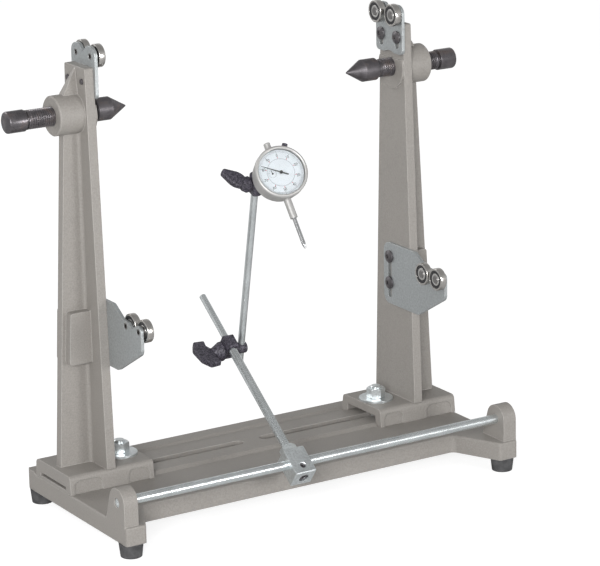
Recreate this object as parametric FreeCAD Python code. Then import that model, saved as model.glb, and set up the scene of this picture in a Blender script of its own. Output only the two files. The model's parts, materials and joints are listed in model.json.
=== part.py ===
"""Wheel truing stand: a cast base with two sliding uprights and a dial gauge on a jointed arm.

Millimetres. +X runs along the base, +Y from the operator to the back, +Z up. The origin lies
on the bench. The stand is drawn about the middle of the line of its two base slots, and then
moved so that the origin is under the middle of its whole box. Everything on an upright is drawn
outboard from the inner face of its flange (local x = 0) and then seated on its side.
"""
import FreeCAD
import Part
import math
import os

V = FreeCAD.Vector

# Base casting
base_length = 480.0
slots_to_back = 66.0
slots_to_front = 104.0
arm_reach = 53.0
arm_tip_width = 22.6
arm_root_width = 47.7
arm_round = 3.0
arm_root_round = 8.0
shelf_height = 19.5
shelf_edge_round = 2.0
platform_half_width = 27.4
platform_rise = 3.1
platform_bevel = 5.0
rim_width = 25.0
rim_rise = 1.8
rim_bevel = 4.0
rim_round = 6.0
back_corner_round = 12.0
slot_width = 13.0
slot_inner_end = 10.5
slot_spare = 9.0
under_wall = 40.0
pocket_roof = 10.0
pocket_half_width = 48.0
shelf_pocket_roof = 8.0
shelf_pocket_front = 96.0
shelf_pocket_back = 56.0
pocket_round = 6.0

# Front rod and its lugs
rod_forward = 138.5
rod_height = 41.5
rod_diameter = 10.0
rod_end_recess = 0.8
lug_thickness = 16.0
lug_radius = 15.5
lug_back_foot = 115.0
rod_centre_diameter = 3.0
rod_centre_depth = 1.5

# Rubber foot pads
pad_height = 15.0
pad_top_diameter = 25.5
pad_low_diameter = 22.0
pad_recess_diameter = 12.0
pad_recess_depth = 6.0
pad_inset = 11.5
pad_front_inset = 12.5
pad_back_inset = 16.0
pad_screw_diameter = 5.0
pad_screw_head = 10.0
pad_screw_recess = 3.4
pad_screw_head_height = 3.2
pad_screw_bite = 12.0

# Uprights
foot_outboard = 53.3
foot_inboard = 44.8
foot_low_half_width = 39.5
foot_top_half_width = 37.3
foot_height = 19.6
foot_edge_round = 5.0
foot_tunnel_roof = 10.5
foot_end_slit = 6.5
foot_end_wall = 8.0
skirt_recess = 1.5
skirt_recess_height = 14.0
skirt_recess_round = 7.0
skirt_band_inboard = 15.0
skirt_band_outboard = 16.0
skirt_end_margin = 5.0
flange_thickness = 10.0
flange_low_half_width = 38.5
flange_top_half_width = 21.5
flange_corner_round = 2.0
upright_height = 439.1
web_thickness = 10.0
web_low_depth = 36.3
web_top_depth = 15.6
web_shoulder = 27.5
web_tip = 1.6
web_tip_thickness = 1.8
cove_radius = 4.0
block_half_width = 15.0
block_below = 18.3
block_above = 7.0
block_setback = 4.6
boss_drop = 48.6
boss_diameter = 41.4
boss_length = 28.0
boss_chamfer = 1.0
inner_pad_diameter = 47.0
inner_pad_thickness = 2.0
inner_pad_flat = 10.0

# Clamp bolts of the uprights
clamp_inboard = 25.7
clamp_bolt_diameter = 12.0
clamp_head_width = 24.0
clamp_head_height = 6.9
clamp_nut_width = 18.0
clamp_nut_height = 10.8
clamp_stud_proud = 2.5
clamp_washer_diameter = 37.5
clamp_washer_thickness = 2.5
clamp_hole_diameter = 13.0

# Spindles
spindle_diameter = 20.0
spindle_thread_length = 72.5
spindle_neck_diameter = 17.0
spindle_neck_length = 5.0
cone_diameter = 24.0
cone_length = 19.5
cone_collar_length = 17.0
cone_tip_diameter = 1.6
cone_bore_diameter = 12.0
cone_bore_depth = 14.0
knob_diameter = 22.5
knob_length = 20.0
knob_chamfer = 1.5
knob_groove_diameter = 18.0
knob_groove_length = 2.0
left_tip_reach = 46.4
right_tip_reach = 58.8

# Bracket plates, their screws and their ball-bearing rollers
plate_thickness = 3.5
slide_gap = 0.05
bearing_diameter = 24.0
bearing_width = 7.0
bearing_bore = 9.0
bearing_inner_race = 13.4
bearing_outer_race = 19.8
shield_thickness = 0.5
shield_bore = 13.8
shield_inset = 0.3
ball_diameter = 4.0
race_clearance = 0.1
ball_count = 9
pin_shoulder_diameter = 11.0
pin_shoulder_length = 1.5
pin_shank_diameter = 7.0
pin_socket_width = 4.0
pin_socket_depth = 3.5
ear_radius = 10.0
notch_round = 2.0
bracket_screw_diameter = 6.0
bracket_screw_head = 13.8
bracket_screw_head_height = 3.3
bracket_screw_proud = 1.6
bracket_screw_socket = 4.0
bracket_socket_depth = 2.2
bracket_slot_width = 6.6

# Top bracket
top_half_width = 25.0
top_plate_below = 18.5
top_roller_rise = 10.4
top_roller_half_spacing = 15.0
top_screw_drop = 14.1
top_screw_half_spacing = 15.0
top_travel_up = 9.5
top_travel_down = 3.2
top_notch_depth = 7.5
top_notch_half_width = 8.0
top_corner_round = 5.0
top_arch_half_width = 9.0
top_arch_height = 2.2

# Low bracket, drawn at the height of the right one
low_roller_drop = 2.3
low_roller_forward = 84.0
low_roller_half_spacing = 13.2
low_left_lift = 4.5
low_plate_back = 14.6
low_plate_above = 15.5
low_plate_below = 24.2
low_plate_vertex = 52.0
low_plate_chamfer_height = 29.0
low_ear_radius = 5.4
low_corner_round = 10.0
low_front_round = 8.0
low_notch_depth = 6.0
low_screw_back = 3.0
low_screw_height = 148.8
low_screw_spacing = 29.7
low_slot_below = 13.6
low_slot_above = 2.5

# Gauge arm
arm_offset = 29.5
arm_angle = 36.5
block_width = 24.5
block_upper = 13.0
block_lower = 19.5
block_depth = 21.5
block_edge = 0.8
set_screw_down = 10.3
set_screw_diameter = 6.0
set_screw_length = 4.5
set_screw_sunk = 1.8
set_screw_mouth = 7.4
cap_screw_head = 8.6
cap_screw_head_height = 5.0
cap_screw_sunk = 1.2
cap_screw_diameter = 5.0
cap_screw_socket = 4.0
cap_recess_diameter = 10.6
arm_thread_bite = 7.4
jam_nut_width = 16.0
jam_nut_height = 7.5
arm_diameter = 9.4
arm_thread_diameter = 7.8
arm_thin_diameter = 7.2
arm_thick_end = 153.0
arm_length = 230.0
rod_fit = 0.06

# Swivel on the arm
swivel_along = 162.0
swivel_drop = 10.6
swivel_half_length = 8.0
swivel_half_width = 6.0
swivel_top = 6.6
swivel_low = 17.6
swivel_round = 4.0
stud_diameter = 6.0
eye_offset = 11.5
eye_diameter = 12.5
eye_length = 10.5
wing_hub_diameter = 21.0
wing_hub_rim = 1.5
wing_hub_length = 12.0
wing_hub_small = 11.0
wing_tip_reach = 20.0
wing_tip_depth = 11.5
wing_inner_reach = 11.0
wing_outer_reach = 10.0
wing_flare = 1.2
wing_depth = 17.5
wing_thickness = 6.5
wing_thread_depth = 13.0
wing_round = 3.0
wing_angle = 18.0

# Upper rod and head clamp
upper_lean = 11.5
upper_diameter = 7.6
upper_below = 8.6
upper_length = 202.5
head_diameter = 14.0
head_below = 14.0
head_above = 9.0
head_reach = 16.6
head_drum_diameter = 11.0
head_socket_gap = 1.0
head_flat = 5.0
head_cap_diameter = 9.0
head_cap_length = 3.0

# Lever of the head clamp
lever_hub_diameter = 16.5
lever_hub_length = 10.5
lever_hub_crown = 4.0
lever_hub_small = 10.0
lever_thread_depth = 7.5
lever_root = 4.9
lever_root_width = 10.5
lever_width = 17.5
lever_length = 28.5
lever_widest_share = 0.38
lever_tip_width = 6.5
lever_thickness = 8.5
lever_edge = 2.6
lever_lean = 50.0
lever_turn = 10.0

# Dial gauge
dial_pivot_yaw = 15.7
dial_tilt = 30.0
dial_roll = 11.5
lug_thickness_dial = 5.0
lug_reach = 12.0
lug_half_height = 6.0
lug_hole_diameter = 6.2
lug_rise = 5.0
case_diameter = 53.0
case_depth = 15.0
case_wall = 2.0
case_back_edge = 2.5
bezel_diameter = 56.0
bezel_height = 9.0
bezel_lip = 2.4
bezel_round = 2.0
bezel_overlap = 3.6
bezel_gap = 0.3
glass_thickness = 1.0
face_diameter = 49.0
face_centre_diameter = 27.6
face_thickness = 0.8
face_sunk = 5.0
hand_reach = 21.5
hand_tail = 8.0
hand_width = 1.3
hand_hub_diameter = 3.6
hand_thickness = 0.35
hand_lift = 0.85
hand_angle = 147.3
arbor_diameter = 1.4
arbor_length = 6.0
counter_offset = 9.1
counter_rise = 0.8
counter_reach = 3.4
counter_lift = 0.25
counter_angle = 100.0
stem_diameter = 8.0
stem_length = 21.0
plunger_diameter = 4.4
plunger_shown = 28.5
plunger_inside = 27.0
tip_length = 5.5
tip_collar_length = 1.8
tip_diameter = 4.0
tip_ball_diameter = 2.6
cap_diameter = 7.0
cap_length = 9.0
clamp_knob_diameter = 6.0
clamp_knob_length = 6.5
clamp_knob_shank = 3.0
clamp_knob_angle = 58.0

# Clearances and small values shared by the pieces
reach = 1.0
running_fit = 0.05
thread_fit = 0.05
seat_gap = 0.05
small_edge = 0.5
tiny = 1e-6
half_share = 0.5
hex_count = 6
quarter_turn = 90.0

# Heights and places worked out from the values above
base_z = pad_height
shelf_z = base_z + shelf_height
platform_z = shelf_z + platform_rise
foot_z = shelf_z + seat_gap
foot_top_z = shelf_z + foot_height
flange_x = base_length / 2 - foot_outboard
rod_y = -rod_forward
rod_z = base_z + rod_height
upright_top_z = shelf_z + upright_height
boss_z = upright_top_z - boss_drop
top_roller_z = upright_top_z + top_roller_rise
top_screw_z = upright_top_z - top_screw_drop
low_screw_z = shelf_z + low_screw_height
second_screw_z = low_screw_z + low_screw_spacing
low_roller_z = second_screw_z - low_roller_drop
left_shift = -1
right_shift = 1

parts = {}


def at(plane, a, b, level):
    """A point of a flat outline in space: a and b in the plane, level across it."""
    if plane == "YZ":
        return V(level, a, b)
    if plane == "XZ":
        return V(a, level, b)
    return V(a, b, level)


def rounded(corners, plane, level):
    """Closed wire through corners (a, b) or (a, b, radius), rounded by tangent arcs."""
    count = len(corners)
    ends = []
    for i in range(count):
        here = V(corners[i][0], corners[i][1], 0)
        before = V(corners[i - 1][0], corners[i - 1][1], 0) - here
        after = V(corners[(i + 1) % count][0], corners[(i + 1) % count][1], 0) - here
        radius = corners[i][2] if len(corners[i]) > 2 else 0
        if radius <= 0:
            ends.append((here, None, here))
            continue
        before.normalize()
        after.normalize()
        half = before.getAngle(after) / 2
        middle = (before + after).normalize()
        cut = radius / math.tan(half)
        top = here + middle * (radius / math.sin(half) - radius)
        ends.append((here + before * cut, top, here + after * cut))
    edges = []
    for i in range(count):
        start, top, end = ends[i]
        follow = ends[(i + 1) % count][0]
        if top is not None:
            arc = [at(plane, p.x, p.y, level) for p in (start, top, end)]
            edges.append(Part.Arc(*arc).toShape())
        if (follow - end).Length > tiny:
            line = [at(plane, p.x, p.y, level) for p in (end, follow)]
            edges.append(Part.makeLine(*line))
    return Part.Wire(edges)


def prism(plane, corners, low, high):
    """A flat outline pushed from one level to another, square to its plane."""
    face = Part.Face(rounded(corners, plane, low))
    return face.extrude(at(plane, 0, 0, high - low))


def box(x, y, z):
    """A box between pairs of limits along X, Y and Z."""
    return Part.makeBox(x[1] - x[0], y[1] - y[0], z[1] - z[0], V(x[0], y[0], z[0]))


def bar(axis, a, b, low, high, diameter):
    """A round bar along X, Y or Z, with its centre line at (a, b) in the plane across it."""
    plane = {"X": "YZ", "Y": "XZ", "Z": "XY"}[axis]
    start = at(plane, a, b, low)
    return Part.makeCylinder(diameter / 2, high - low, start, at(plane, 0, 0, 1))


def turned(profile, axis):
    """A solid turned about X, Y or Z from its profile of (radius, place along the axis)."""
    if axis == "X":
        points = [V(t, r, 0) for r, t in profile]
    elif axis == "Y":
        points = [V(0, t, r) for r, t in profile]
    else:
        points = [V(r, 0, t) for r, t in profile]
    face = Part.Face(Part.makePolygon(points + points[:1]))
    direction = {"X": V(1, 0, 0), "Y": V(0, 1, 0), "Z": V(0, 0, 1)}[axis]
    return face.revolve(V(0, 0, 0), direction, 360)


def hexagon(width):
    """Corners of a hexagon of the given width across its flats."""
    radius = width / 2 / math.cos(math.pi / hex_count)
    turns = [2 * math.pi * (i + half_share) / hex_count for i in range(hex_count)]
    return [(radius * math.cos(t), radius * math.sin(t)) for t in turns]


def hex_bar(width, low, high):
    """A hexagonal bar along Z."""
    return prism("XY", hexagon(width), low, high)


def placed(shape, origin, x_axis, z_axis):
    """A copy of a shape drawn about its own origin, moved to a place and a pair of axes."""
    y_axis = z_axis.cross(x_axis)
    turn = FreeCAD.Rotation(x_axis, y_axis, z_axis, "ZXY")
    moved = shape.copy()
    moved.Placement = FreeCAD.Placement(origin, turn).multiply(moved.Placement)
    return moved


def along(direction, shape, origin):
    """A copy of a shape drawn along +Z, laid along a direction from an origin."""
    moved = shape.copy()
    turn = FreeCAD.Rotation(V(0, 0, 1), direction)
    moved.Placement = FreeCAD.Placement(origin, turn).multiply(moved.Placement)
    return moved


def joined(shapes):
    """One solid from several that touch or overlap."""
    whole = shapes[0]
    for shape in shapes[1:]:
        whole = whole.fuse(shape)
    return whole.removeSplitter()


def softened(shape, radius, wanted):
    """The shape with the straight or round edges that wanted() picks rounded off."""
    edges = [edge for edge in shape.Edges if wanted(edge)]
    return shape.makeFillet(radius, edges)


def middle(edge):
    """The point half way along an edge."""
    return edge.valueAt((edge.FirstParameter + edge.LastParameter) / 2)


def add(name, *solids):
    """Keep one named sub-part, made of one or more separate solids."""
    pieces = []
    for solid in solids:
        pieces.extend(solid.Solids)
    parts[name] = pieces[0] if len(pieces) == 1 else Part.makeCompound(pieces)


# Base, feet and front rod


def plan_outline():
    """Corners of the base seen from above, with the two arms reaching forward."""
    end = base_length / 2
    front = -slots_to_front
    tip = front - arm_reach
    return [
        (-end, tip, arm_round),
        (-end + arm_tip_width, tip, arm_round),
        (-end + arm_root_width, front, arm_root_round),
        (end - arm_root_width, front, arm_root_round),
        (end - arm_tip_width, tip, arm_round),
        (end, tip, arm_round),
        (end, slots_to_back, back_corner_round),
        (-end, slots_to_back, back_corner_round),
    ]


def lug_outline():
    """A lug from the side: upright in front, round over the rod, slanting at the back."""
    foot = V(-lug_back_foot, shelf_z, 0)
    centre = V(rod_y, rod_z, 0)
    gap = centre - foot
    lean = math.atan2(gap.y, gap.x) - math.asin(lug_radius / gap.Length)
    top = rod_z + lug_radius
    back_top = foot.x + (top - foot.y) / math.tan(lean)
    sunk = shelf_z - shelf_height / 2
    return [
        (rod_y - lug_radius, sunk),
        (rod_y - lug_radius, top, lug_radius),
        (back_top, top, lug_radius * (1 - tiny)),
        (foot.x, foot.y),
        (foot.x, sunk),
    ]


def base_slot(side):
    """The long slot that an upright's clamp bolt slides in."""
    low = side * slot_inner_end
    high = side * (flange_x - clamp_inboard + slot_spare)
    ends = sorted((low, high))
    edge = slot_width / 2
    corners = [
        (ends[0], -edge, edge),
        (ends[1], -edge, edge),
        (ends[1], edge, edge),
        (ends[0], edge, edge),
    ]
    return prism("XY", corners, base_z, platform_z + reach)


def under_pocket(front, back, roof):
    """A round-cornered hollow in the underside of the casting."""
    end = base_length / 2 - under_wall
    corners = [
        (-end, front, pocket_round),
        (end, front, pocket_round),
        (end, back, pocket_round),
        (-end, back, pocket_round),
    ]
    return prism("XY", corners, base_z - reach, base_z + roof)


def pad_places():
    """Centres of the four foot pads, with their names."""
    x = base_length / 2 - pad_inset
    front = -slots_to_front - arm_reach + pad_front_inset
    back = slots_to_back - pad_back_inset
    return {
        "front_left": (-x, front),
        "front_right": (x, front),
        "back_left": (-x, back),
        "back_right": (x, back),
    }


def base_casting():
    """The slotted base with its platform, back rim, two arms and two lugs."""
    end = base_length / 2
    slab = prism("XY", plan_outline(), base_z, shelf_z)
    front = -slots_to_front + tiny
    slab = softened(
        slab,
        shelf_edge_round,
        lambda e: abs(middle(e).z - shelf_z) < tiny and middle(e).y < front,
    )
    foot = platform_half_width + platform_bevel
    platform = prism(
        "YZ",
        [
            (-foot, shelf_z - reach),
            (foot, shelf_z - reach),
            (foot, shelf_z),
            (platform_half_width, platform_z),
            (-platform_half_width, platform_z),
            (-foot, shelf_z),
        ],
        -end,
        end,
    )
    rim_start = slots_to_back - rim_width
    rim = prism(
        "YZ",
        [
            (rim_start, shelf_z - shelf_height / 2),
            (slots_to_back, shelf_z - shelf_height / 2),
            (slots_to_back, shelf_z + rim_rise, rim_round),
            (rim_start + rim_bevel, shelf_z + rim_rise),
            (rim_start, shelf_z),
        ],
        -end,
        end,
    )
    back_strip = box((-end, end), (rim_start, slots_to_back + reach), (shelf_z - shelf_height / 2, shelf_z))
    slab = slab.cut(back_strip)
    body = joined([slab, platform, rim])
    body = body.common(prism("XY", plan_outline(), base_z, platform_z + reach))
    for side in (left_shift, right_shift):
        outer = side * end
        inner = side * (end - lug_thickness)
        body = body.fuse(prism("YZ", lug_outline(), min(outer, inner), max(outer, inner)))
    body = body.removeSplitter()
    body = body.cut(bar("X", rod_y, rod_z, -end - reach, end + reach, rod_diameter + 2 * running_fit))
    body = body.cut(under_pocket(-pocket_half_width, pocket_half_width, pocket_roof))
    body = body.cut(under_pocket(-shelf_pocket_front, -shelf_pocket_back, shelf_pocket_roof))
    for side in (left_shift, right_shift):
        body = body.cut(base_slot(side))
    hole = pad_screw_diameter + 2 * thread_fit
    for x, y in pad_places().values():
        body = body.cut(bar("Z", x, y, base_z - reach, base_z + pad_screw_bite + reach, hole))
    return body


def foot_pad(x, y):
    """A tapered rubber foot with a recess for its screw."""
    shape = Part.makeCone(pad_low_diameter / 2, pad_top_diameter / 2, pad_height)
    shape = softened(shape, small_edge, lambda e: abs(middle(e).z) < tiny and e.Closed)
    hole = pad_screw_diameter + 2 * thread_fit
    shape = shape.cut(bar("Z", 0, 0, -reach, pad_recess_depth, pad_recess_diameter))
    shape = shape.cut(bar("Z", 0, 0, 0, pad_height + reach, hole))
    shape.translate(V(x, y, 0))
    return shape


def pad_screw(x, y):
    """A round-headed screw up through a foot pad into the casting."""
    low = pad_recess_depth - pad_screw_head_height
    head = bar("Z", x, y, low, pad_recess_depth, pad_screw_head)
    shank = bar("Z", x, y, low, pad_height + pad_screw_bite, pad_screw_diameter)
    drive = bar("Z", x, y, low - reach, low + pad_screw_head_height / 2, pad_screw_recess)
    return head.fuse(shank).cut(drive)


def front_rod():
    """The round rod between the lugs, with a small turning centre in each end."""
    half = base_length / 2 - rod_end_recess
    rod = bar("X", 0, 0, -half, half, rod_diameter)
    rod = rod.makeChamfer(small_edge, [e for e in rod.Edges if e.Closed])
    for side in (left_shift, right_shift):
        inward = V(-side, 0, 0)
        centre = Part.makeCone(rod_centre_diameter / 2, 0, rod_centre_depth, V(side * half, 0, 0), inward)
        rod = rod.cut(centre)
    rod.translate(V(0, rod_y, rod_z))
    return rod


# Uprights, drawn outboard from the flange's inner face


def foot_section(inset):
    """Half of the saddle's outer section, drawn whole, set in by a given amount."""
    top = foot_top_z
    return [
        (-foot_low_half_width + inset, foot_z),
        (foot_low_half_width - inset, foot_z),
        (foot_top_half_width - inset, top, foot_edge_round),
        (-foot_top_half_width + inset, top, foot_edge_round),
    ]


def foot_hollow(roof):
    """The hollow over the platform: it follows the bevels and rises to a roof."""
    low = platform_half_width + platform_bevel + small_edge
    high = platform_half_width + small_edge
    return [
        (-low, foot_z - reach),
        (low, foot_z - reach),
        (low, foot_z),
        (high, platform_z + seat_gap),
        (high, shelf_z + roof, cove_radius / 2),
        (-high, shelf_z + roof, cove_radius / 2),
        (-high, platform_z + seat_gap),
        (-low, foot_z),
    ]


def skirt_windows():
    """Two round-topped windows that mark where the foot's skirts are recessed."""
    top = foot_z + skirt_recess_height
    width = foot_low_half_width + reach
    spans = (
        (-foot_inboard + skirt_end_margin, -skirt_band_inboard),
        (skirt_band_outboard, foot_outboard - skirt_end_margin),
    )
    windows = []
    for low, high in spans:
        corners = [
            (low, foot_z - reach),
            (high, foot_z - reach),
            (high, top, skirt_recess_round),
            (low, top, skirt_recess_round),
        ]
        windows.append(prism("XZ", corners, -width, width))
    return windows


def upright_foot():
    """The saddle that straddles the platform, hollow, with recessed skirts."""
    foot = prism("YZ", foot_section(0), -foot_inboard, foot_outboard)
    core = prism("YZ", foot_section(skirt_recess), -foot_inboard, foot_outboard)
    for window in skirt_windows():
        foot = foot.cut(window.cut(core))
    tunnel = prism("YZ", foot_hollow(foot_tunnel_roof), -foot_inboard - reach, foot_outboard - foot_end_wall)
    slit = prism("YZ", foot_hollow(foot_end_slit), foot_outboard - foot_end_wall, foot_outboard + reach)
    return foot.cut(tunnel).cut(slit)


def web_depth(height):
    """Depth of the web beyond the flange at a height above the shelf."""
    share = (height - foot_height) / (upright_height - web_shoulder - foot_height)
    return web_low_depth + (web_top_depth - web_low_depth) * share


def web():
    """The rib behind the flange: its slanted top narrows to a ridge at the flange's top."""
    inside = flange_thickness / 2
    shoulder = upright_height - web_shoulder
    tip = upright_top_z - web_tip
    corners = [
        (inside, foot_top_z - reach),
        (flange_thickness + web_depth(foot_height), foot_top_z - reach),
        (flange_thickness + web_depth(foot_height), foot_top_z),
        (flange_thickness + web_depth(shoulder), shelf_z + shoulder, small_edge),
        (flange_thickness, tip),
        (inside, tip),
    ]
    edge = web_thickness / 2
    ridge = web_tip_thickness / 2
    front = [
        (-edge, foot_top_z - 2 * reach),
        (edge, foot_top_z - 2 * reach),
        (edge, shelf_z + shoulder),
        (ridge, tip + reach),
        (-ridge, tip + reach),
        (-edge, shelf_z + shoulder),
    ]
    far = flange_thickness + web_low_depth + reach
    return prism("XZ", corners, -edge, edge).common(prism("YZ", front, 0, far))


def cove(side):
    """The cast fillet that runs up one corner between flange and web."""
    edge = web_thickness / 2
    start = V(flange_thickness, side * edge, foot_top_z - reach)
    out = start + V(cove_radius, 0, 0)
    across = start + V(0, side * cove_radius, 0)
    hollow = out + V(0, side * cove_radius, 0)
    turn = hollow - (V(1, side, 0).normalize() * cove_radius)
    inner = start - V(small_edge, side * small_edge, 0)
    edges = [
        Part.Arc(out, turn, across).toShape(),
        Part.makeLine(across, across - V(small_edge, 0, 0)),
        Part.makeLine(across - V(small_edge, 0, 0), inner),
        Part.makeLine(inner, out - V(0, side * small_edge, 0)),
        Part.makeLine(out - V(0, side * small_edge, 0), out),
    ]
    height = upright_height - web_shoulder - foot_height
    return Part.Face(Part.Wire(edges)).extrude(V(0, 0, height))


def bracket_block():
    """The thick block on the web that the low bracket's screws bite into."""
    low = low_screw_height - block_below
    high = low_screw_height + low_screw_spacing + block_above
    outer_low = flange_thickness + web_depth(low) - block_setback
    outer_high = flange_thickness + web_depth(high) - block_setback
    corners = [
        (flange_thickness / 2, shelf_z + low),
        (outer_low, shelf_z + low, arm_round),
        (outer_high, shelf_z + high, arm_round),
        (flange_thickness / 2, shelf_z + high),
    ]
    return prism("XZ", corners, -block_half_width, block_half_width)


def flange():
    """The tapering upright plate with rounded top corners."""
    corners = [
        (-flange_low_half_width, foot_top_z),
        (flange_low_half_width, foot_top_z),
        (flange_top_half_width, upright_top_z, flange_corner_round),
        (-flange_top_half_width, upright_top_z, flange_corner_round),
    ]
    plate = prism("YZ", corners, 0, flange_thickness)
    root = prism("YZ", foot_root(), 0, flange_thickness)
    return plate.fuse(root)


def foot_root():
    """The flange's root, sunk into the roof of the foot."""
    edge = foot_top_half_width - foot_edge_round
    return [
        (-edge, foot_top_z - foot_height + foot_tunnel_roof + reach),
        (edge, foot_top_z - foot_height + foot_tunnel_roof + reach),
        (edge, foot_top_z),
        (-edge, foot_top_z),
    ]


def boss():
    """The round boss for the spindle, with a chamfered end and a flat-topped inner pad."""
    end = flange_thickness + boss_length
    radius = boss_diameter / 2
    round_part = turned(
        [(0, 0), (radius, 0), (radius, end - boss_chamfer), (radius - boss_chamfer, end), (0, end)],
        "X",
    )
    round_part.translate(V(0, 0, boss_z))
    pad = bar("X", 0, boss_z, -inner_pad_thickness, reach, inner_pad_diameter)
    above = boss_z + inner_pad_flat
    wide = inner_pad_diameter
    top = box((-wide, 0), (-wide, wide), (above, above + wide))
    return round_part.fuse(pad.cut(top))


def low_screw_places():
    """Heights of the two screws of a low bracket; both sides use the same holes."""
    return [low_screw_z, second_screw_z]


def upright():
    """One casting: foot, flange, web, bracket block and spindle boss, with its bores."""
    casting = joined([upright_foot(), flange(), web(), cove(1), cove(-1), bracket_block(), boss()])
    bore = spindle_diameter + 2 * running_fit
    far = flange_thickness + boss_length + reach
    casting = casting.cut(bar("X", 0, boss_z, -inner_pad_thickness - reach, far, bore))
    hole = bar("Z", -clamp_inboard, 0, foot_z, foot_top_z + reach, clamp_hole_diameter)
    casting = casting.cut(hole)
    screw = bracket_screw_diameter + 2 * thread_fit
    for y in (-top_screw_half_spacing, top_screw_half_spacing):
        hole = bar("X", y, top_screw_z, -reach, flange_thickness + reach, screw)
        casting = casting.cut(hole)
    for z in low_screw_places():
        deep = low_screw_bite() + reach
        casting = casting.cut(bar("X", low_screw_back, z, -reach, deep, screw))
    return casting


def low_screw_bite():
    """How far a low bracket screw reaches into the casting."""
    return 2 * flange_thickness


def clamp_bolt():
    """The bolt of an upright's foot: square head in the base pocket, stud above the nut."""
    top = foot_top_z + clamp_washer_thickness + clamp_nut_height + clamp_stud_proud
    roof = base_z + pocket_roof - seat_gap
    edge = clamp_head_width / 2
    square = box((-edge, edge), (-edge, edge), (roof - clamp_head_height, roof))
    stud = bar("Z", 0, 0, roof - small_edge, top, clamp_bolt_diameter)
    stud = stud.makeChamfer(2 * small_edge, [e for e in stud.Edges if e.Closed and middle(e).z > foot_top_z])
    bolt = joined([square, stud])
    bolt.translate(V(-clamp_inboard, 0, 0))
    return bolt


def chamfered_nut(width, height, bore):
    """A hexagon nut along Z with both faces turned down to a washer round."""
    blank = hex_bar(width, 0, height)
    outer = width / 2 / math.cos(math.pi / hex_count)
    drop = (outer - width / 2) * half_share
    profile = [
        (0, 0),
        (width / 2, 0),
        (outer + tiny, drop),
        (outer + tiny, height - drop),
        (width / 2, height),
        (0, height),
    ]
    nut = blank.common(turned(profile, "Z"))
    return nut.cut(bar("Z", 0, 0, -reach, height + reach, bore))


def clamp_nut():
    """The hexagon nut that locks an upright's foot."""
    nut = chamfered_nut(clamp_nut_width, clamp_nut_height, clamp_bolt_diameter + 2 * thread_fit)
    nut.translate(V(-clamp_inboard, 0, foot_top_z + clamp_washer_thickness))
    return nut


def clamp_washer():
    """The wide washer under the clamp nut."""
    low = foot_top_z
    high = low + clamp_washer_thickness
    disc = bar("Z", -clamp_inboard, 0, low, high, clamp_washer_diameter)
    disc = softened(disc, small_edge, lambda e: e.Closed and abs(middle(e).z - high) < tiny)
    return disc.cut(bar("Z", -clamp_inboard, 0, low - reach, high + reach, clamp_hole_diameter))


def spindle_cone(tip_reach):
    """The hub centre: a 60 degree cone with a collar, bored to turn on the screw's nose."""
    profile = [
        (0, 0),
        (cone_tip_diameter / 2, 0),
        (cone_diameter / 2, cone_length),
        (cone_diameter / 2, cone_length + cone_collar_length - boss_chamfer),
        (cone_diameter / 2 - boss_chamfer, cone_length + cone_collar_length),
        (0, cone_length + cone_collar_length),
    ]
    shape = turned(profile, "X")
    back = cone_length + cone_collar_length
    bore = cone_bore_diameter + 2 * running_fit
    shape = shape.cut(bar("X", 0, 0, back - cone_bore_depth, back + reach, bore))
    shape.translate(V(-tip_reach, 0, boss_z))
    return shape


def spindle_screw(tip_reach):
    """The threaded spindle with its nose, neck, thread, groove and knob, and a screwdriver slot."""
    start = cone_length + cone_collar_length + seat_gap
    neck_end = start + spindle_neck_length
    thread_end = neck_end + spindle_thread_length
    groove_end = thread_end + knob_groove_length
    knob_end = groove_end + knob_length
    profile = [
        (0, start - cone_bore_depth + small_edge),
        (cone_bore_diameter / 2, start - cone_bore_depth + small_edge),
        (cone_bore_diameter / 2, start),
        (spindle_neck_diameter / 2, start),
        (spindle_neck_diameter / 2, neck_end),
        (spindle_diameter / 2 - boss_chamfer, neck_end),
        (spindle_diameter / 2, neck_end + boss_chamfer),
        (spindle_diameter / 2, thread_end),
        (knob_groove_diameter / 2, thread_end),
        (knob_groove_diameter / 2, groove_end),
        (knob_diameter / 2 - small_edge, groove_end),
        (knob_diameter / 2, groove_end + small_edge),
        (knob_diameter / 2, knob_end - knob_chamfer),
        (knob_diameter / 2 - knob_chamfer, knob_end),
        (0, knob_end),
    ]
    shape = turned(profile, "X")
    shape.translate(V(-tip_reach, 0, boss_z))
    return shape


# Brackets and rollers


def slot_along_z(y, low, high, width):
    """Cutter for an upright slot with round ends, through a bracket plate."""
    edge = width / 2
    corners = [
        (y - edge, low - edge, edge),
        (y + edge, low - edge, edge),
        (y + edge, high + edge, edge),
        (y - edge, high + edge, edge),
    ]
    return prism("YZ", corners, -2 * plate_thickness, 0)


def plate_from(corners):
    """A bracket plate, lying on the flange's inner face with its sliding gap."""
    return prism("YZ", corners, -slide_gap - plate_thickness, -slide_gap)


def pin_hole(y, z):
    """Cutter for the hole of a roller pin in a bracket plate."""
    size = pin_shank_diameter + 2 * thread_fit
    return bar("X", y, z, -2 * plate_thickness, 0, size)


def top_roller_places():
    """Centres (y, z) of the two top rollers."""
    return [(-top_roller_half_spacing, top_roller_z), (top_roller_half_spacing, top_roller_z)]


def low_roller_places(lift):
    """Centres (y, z) of the two low rollers, front one first."""
    z = low_roller_z + lift
    front = -low_roller_forward - low_roller_half_spacing
    back = -low_roller_forward + low_roller_half_spacing
    return [(front, z), (back, z)]


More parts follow.
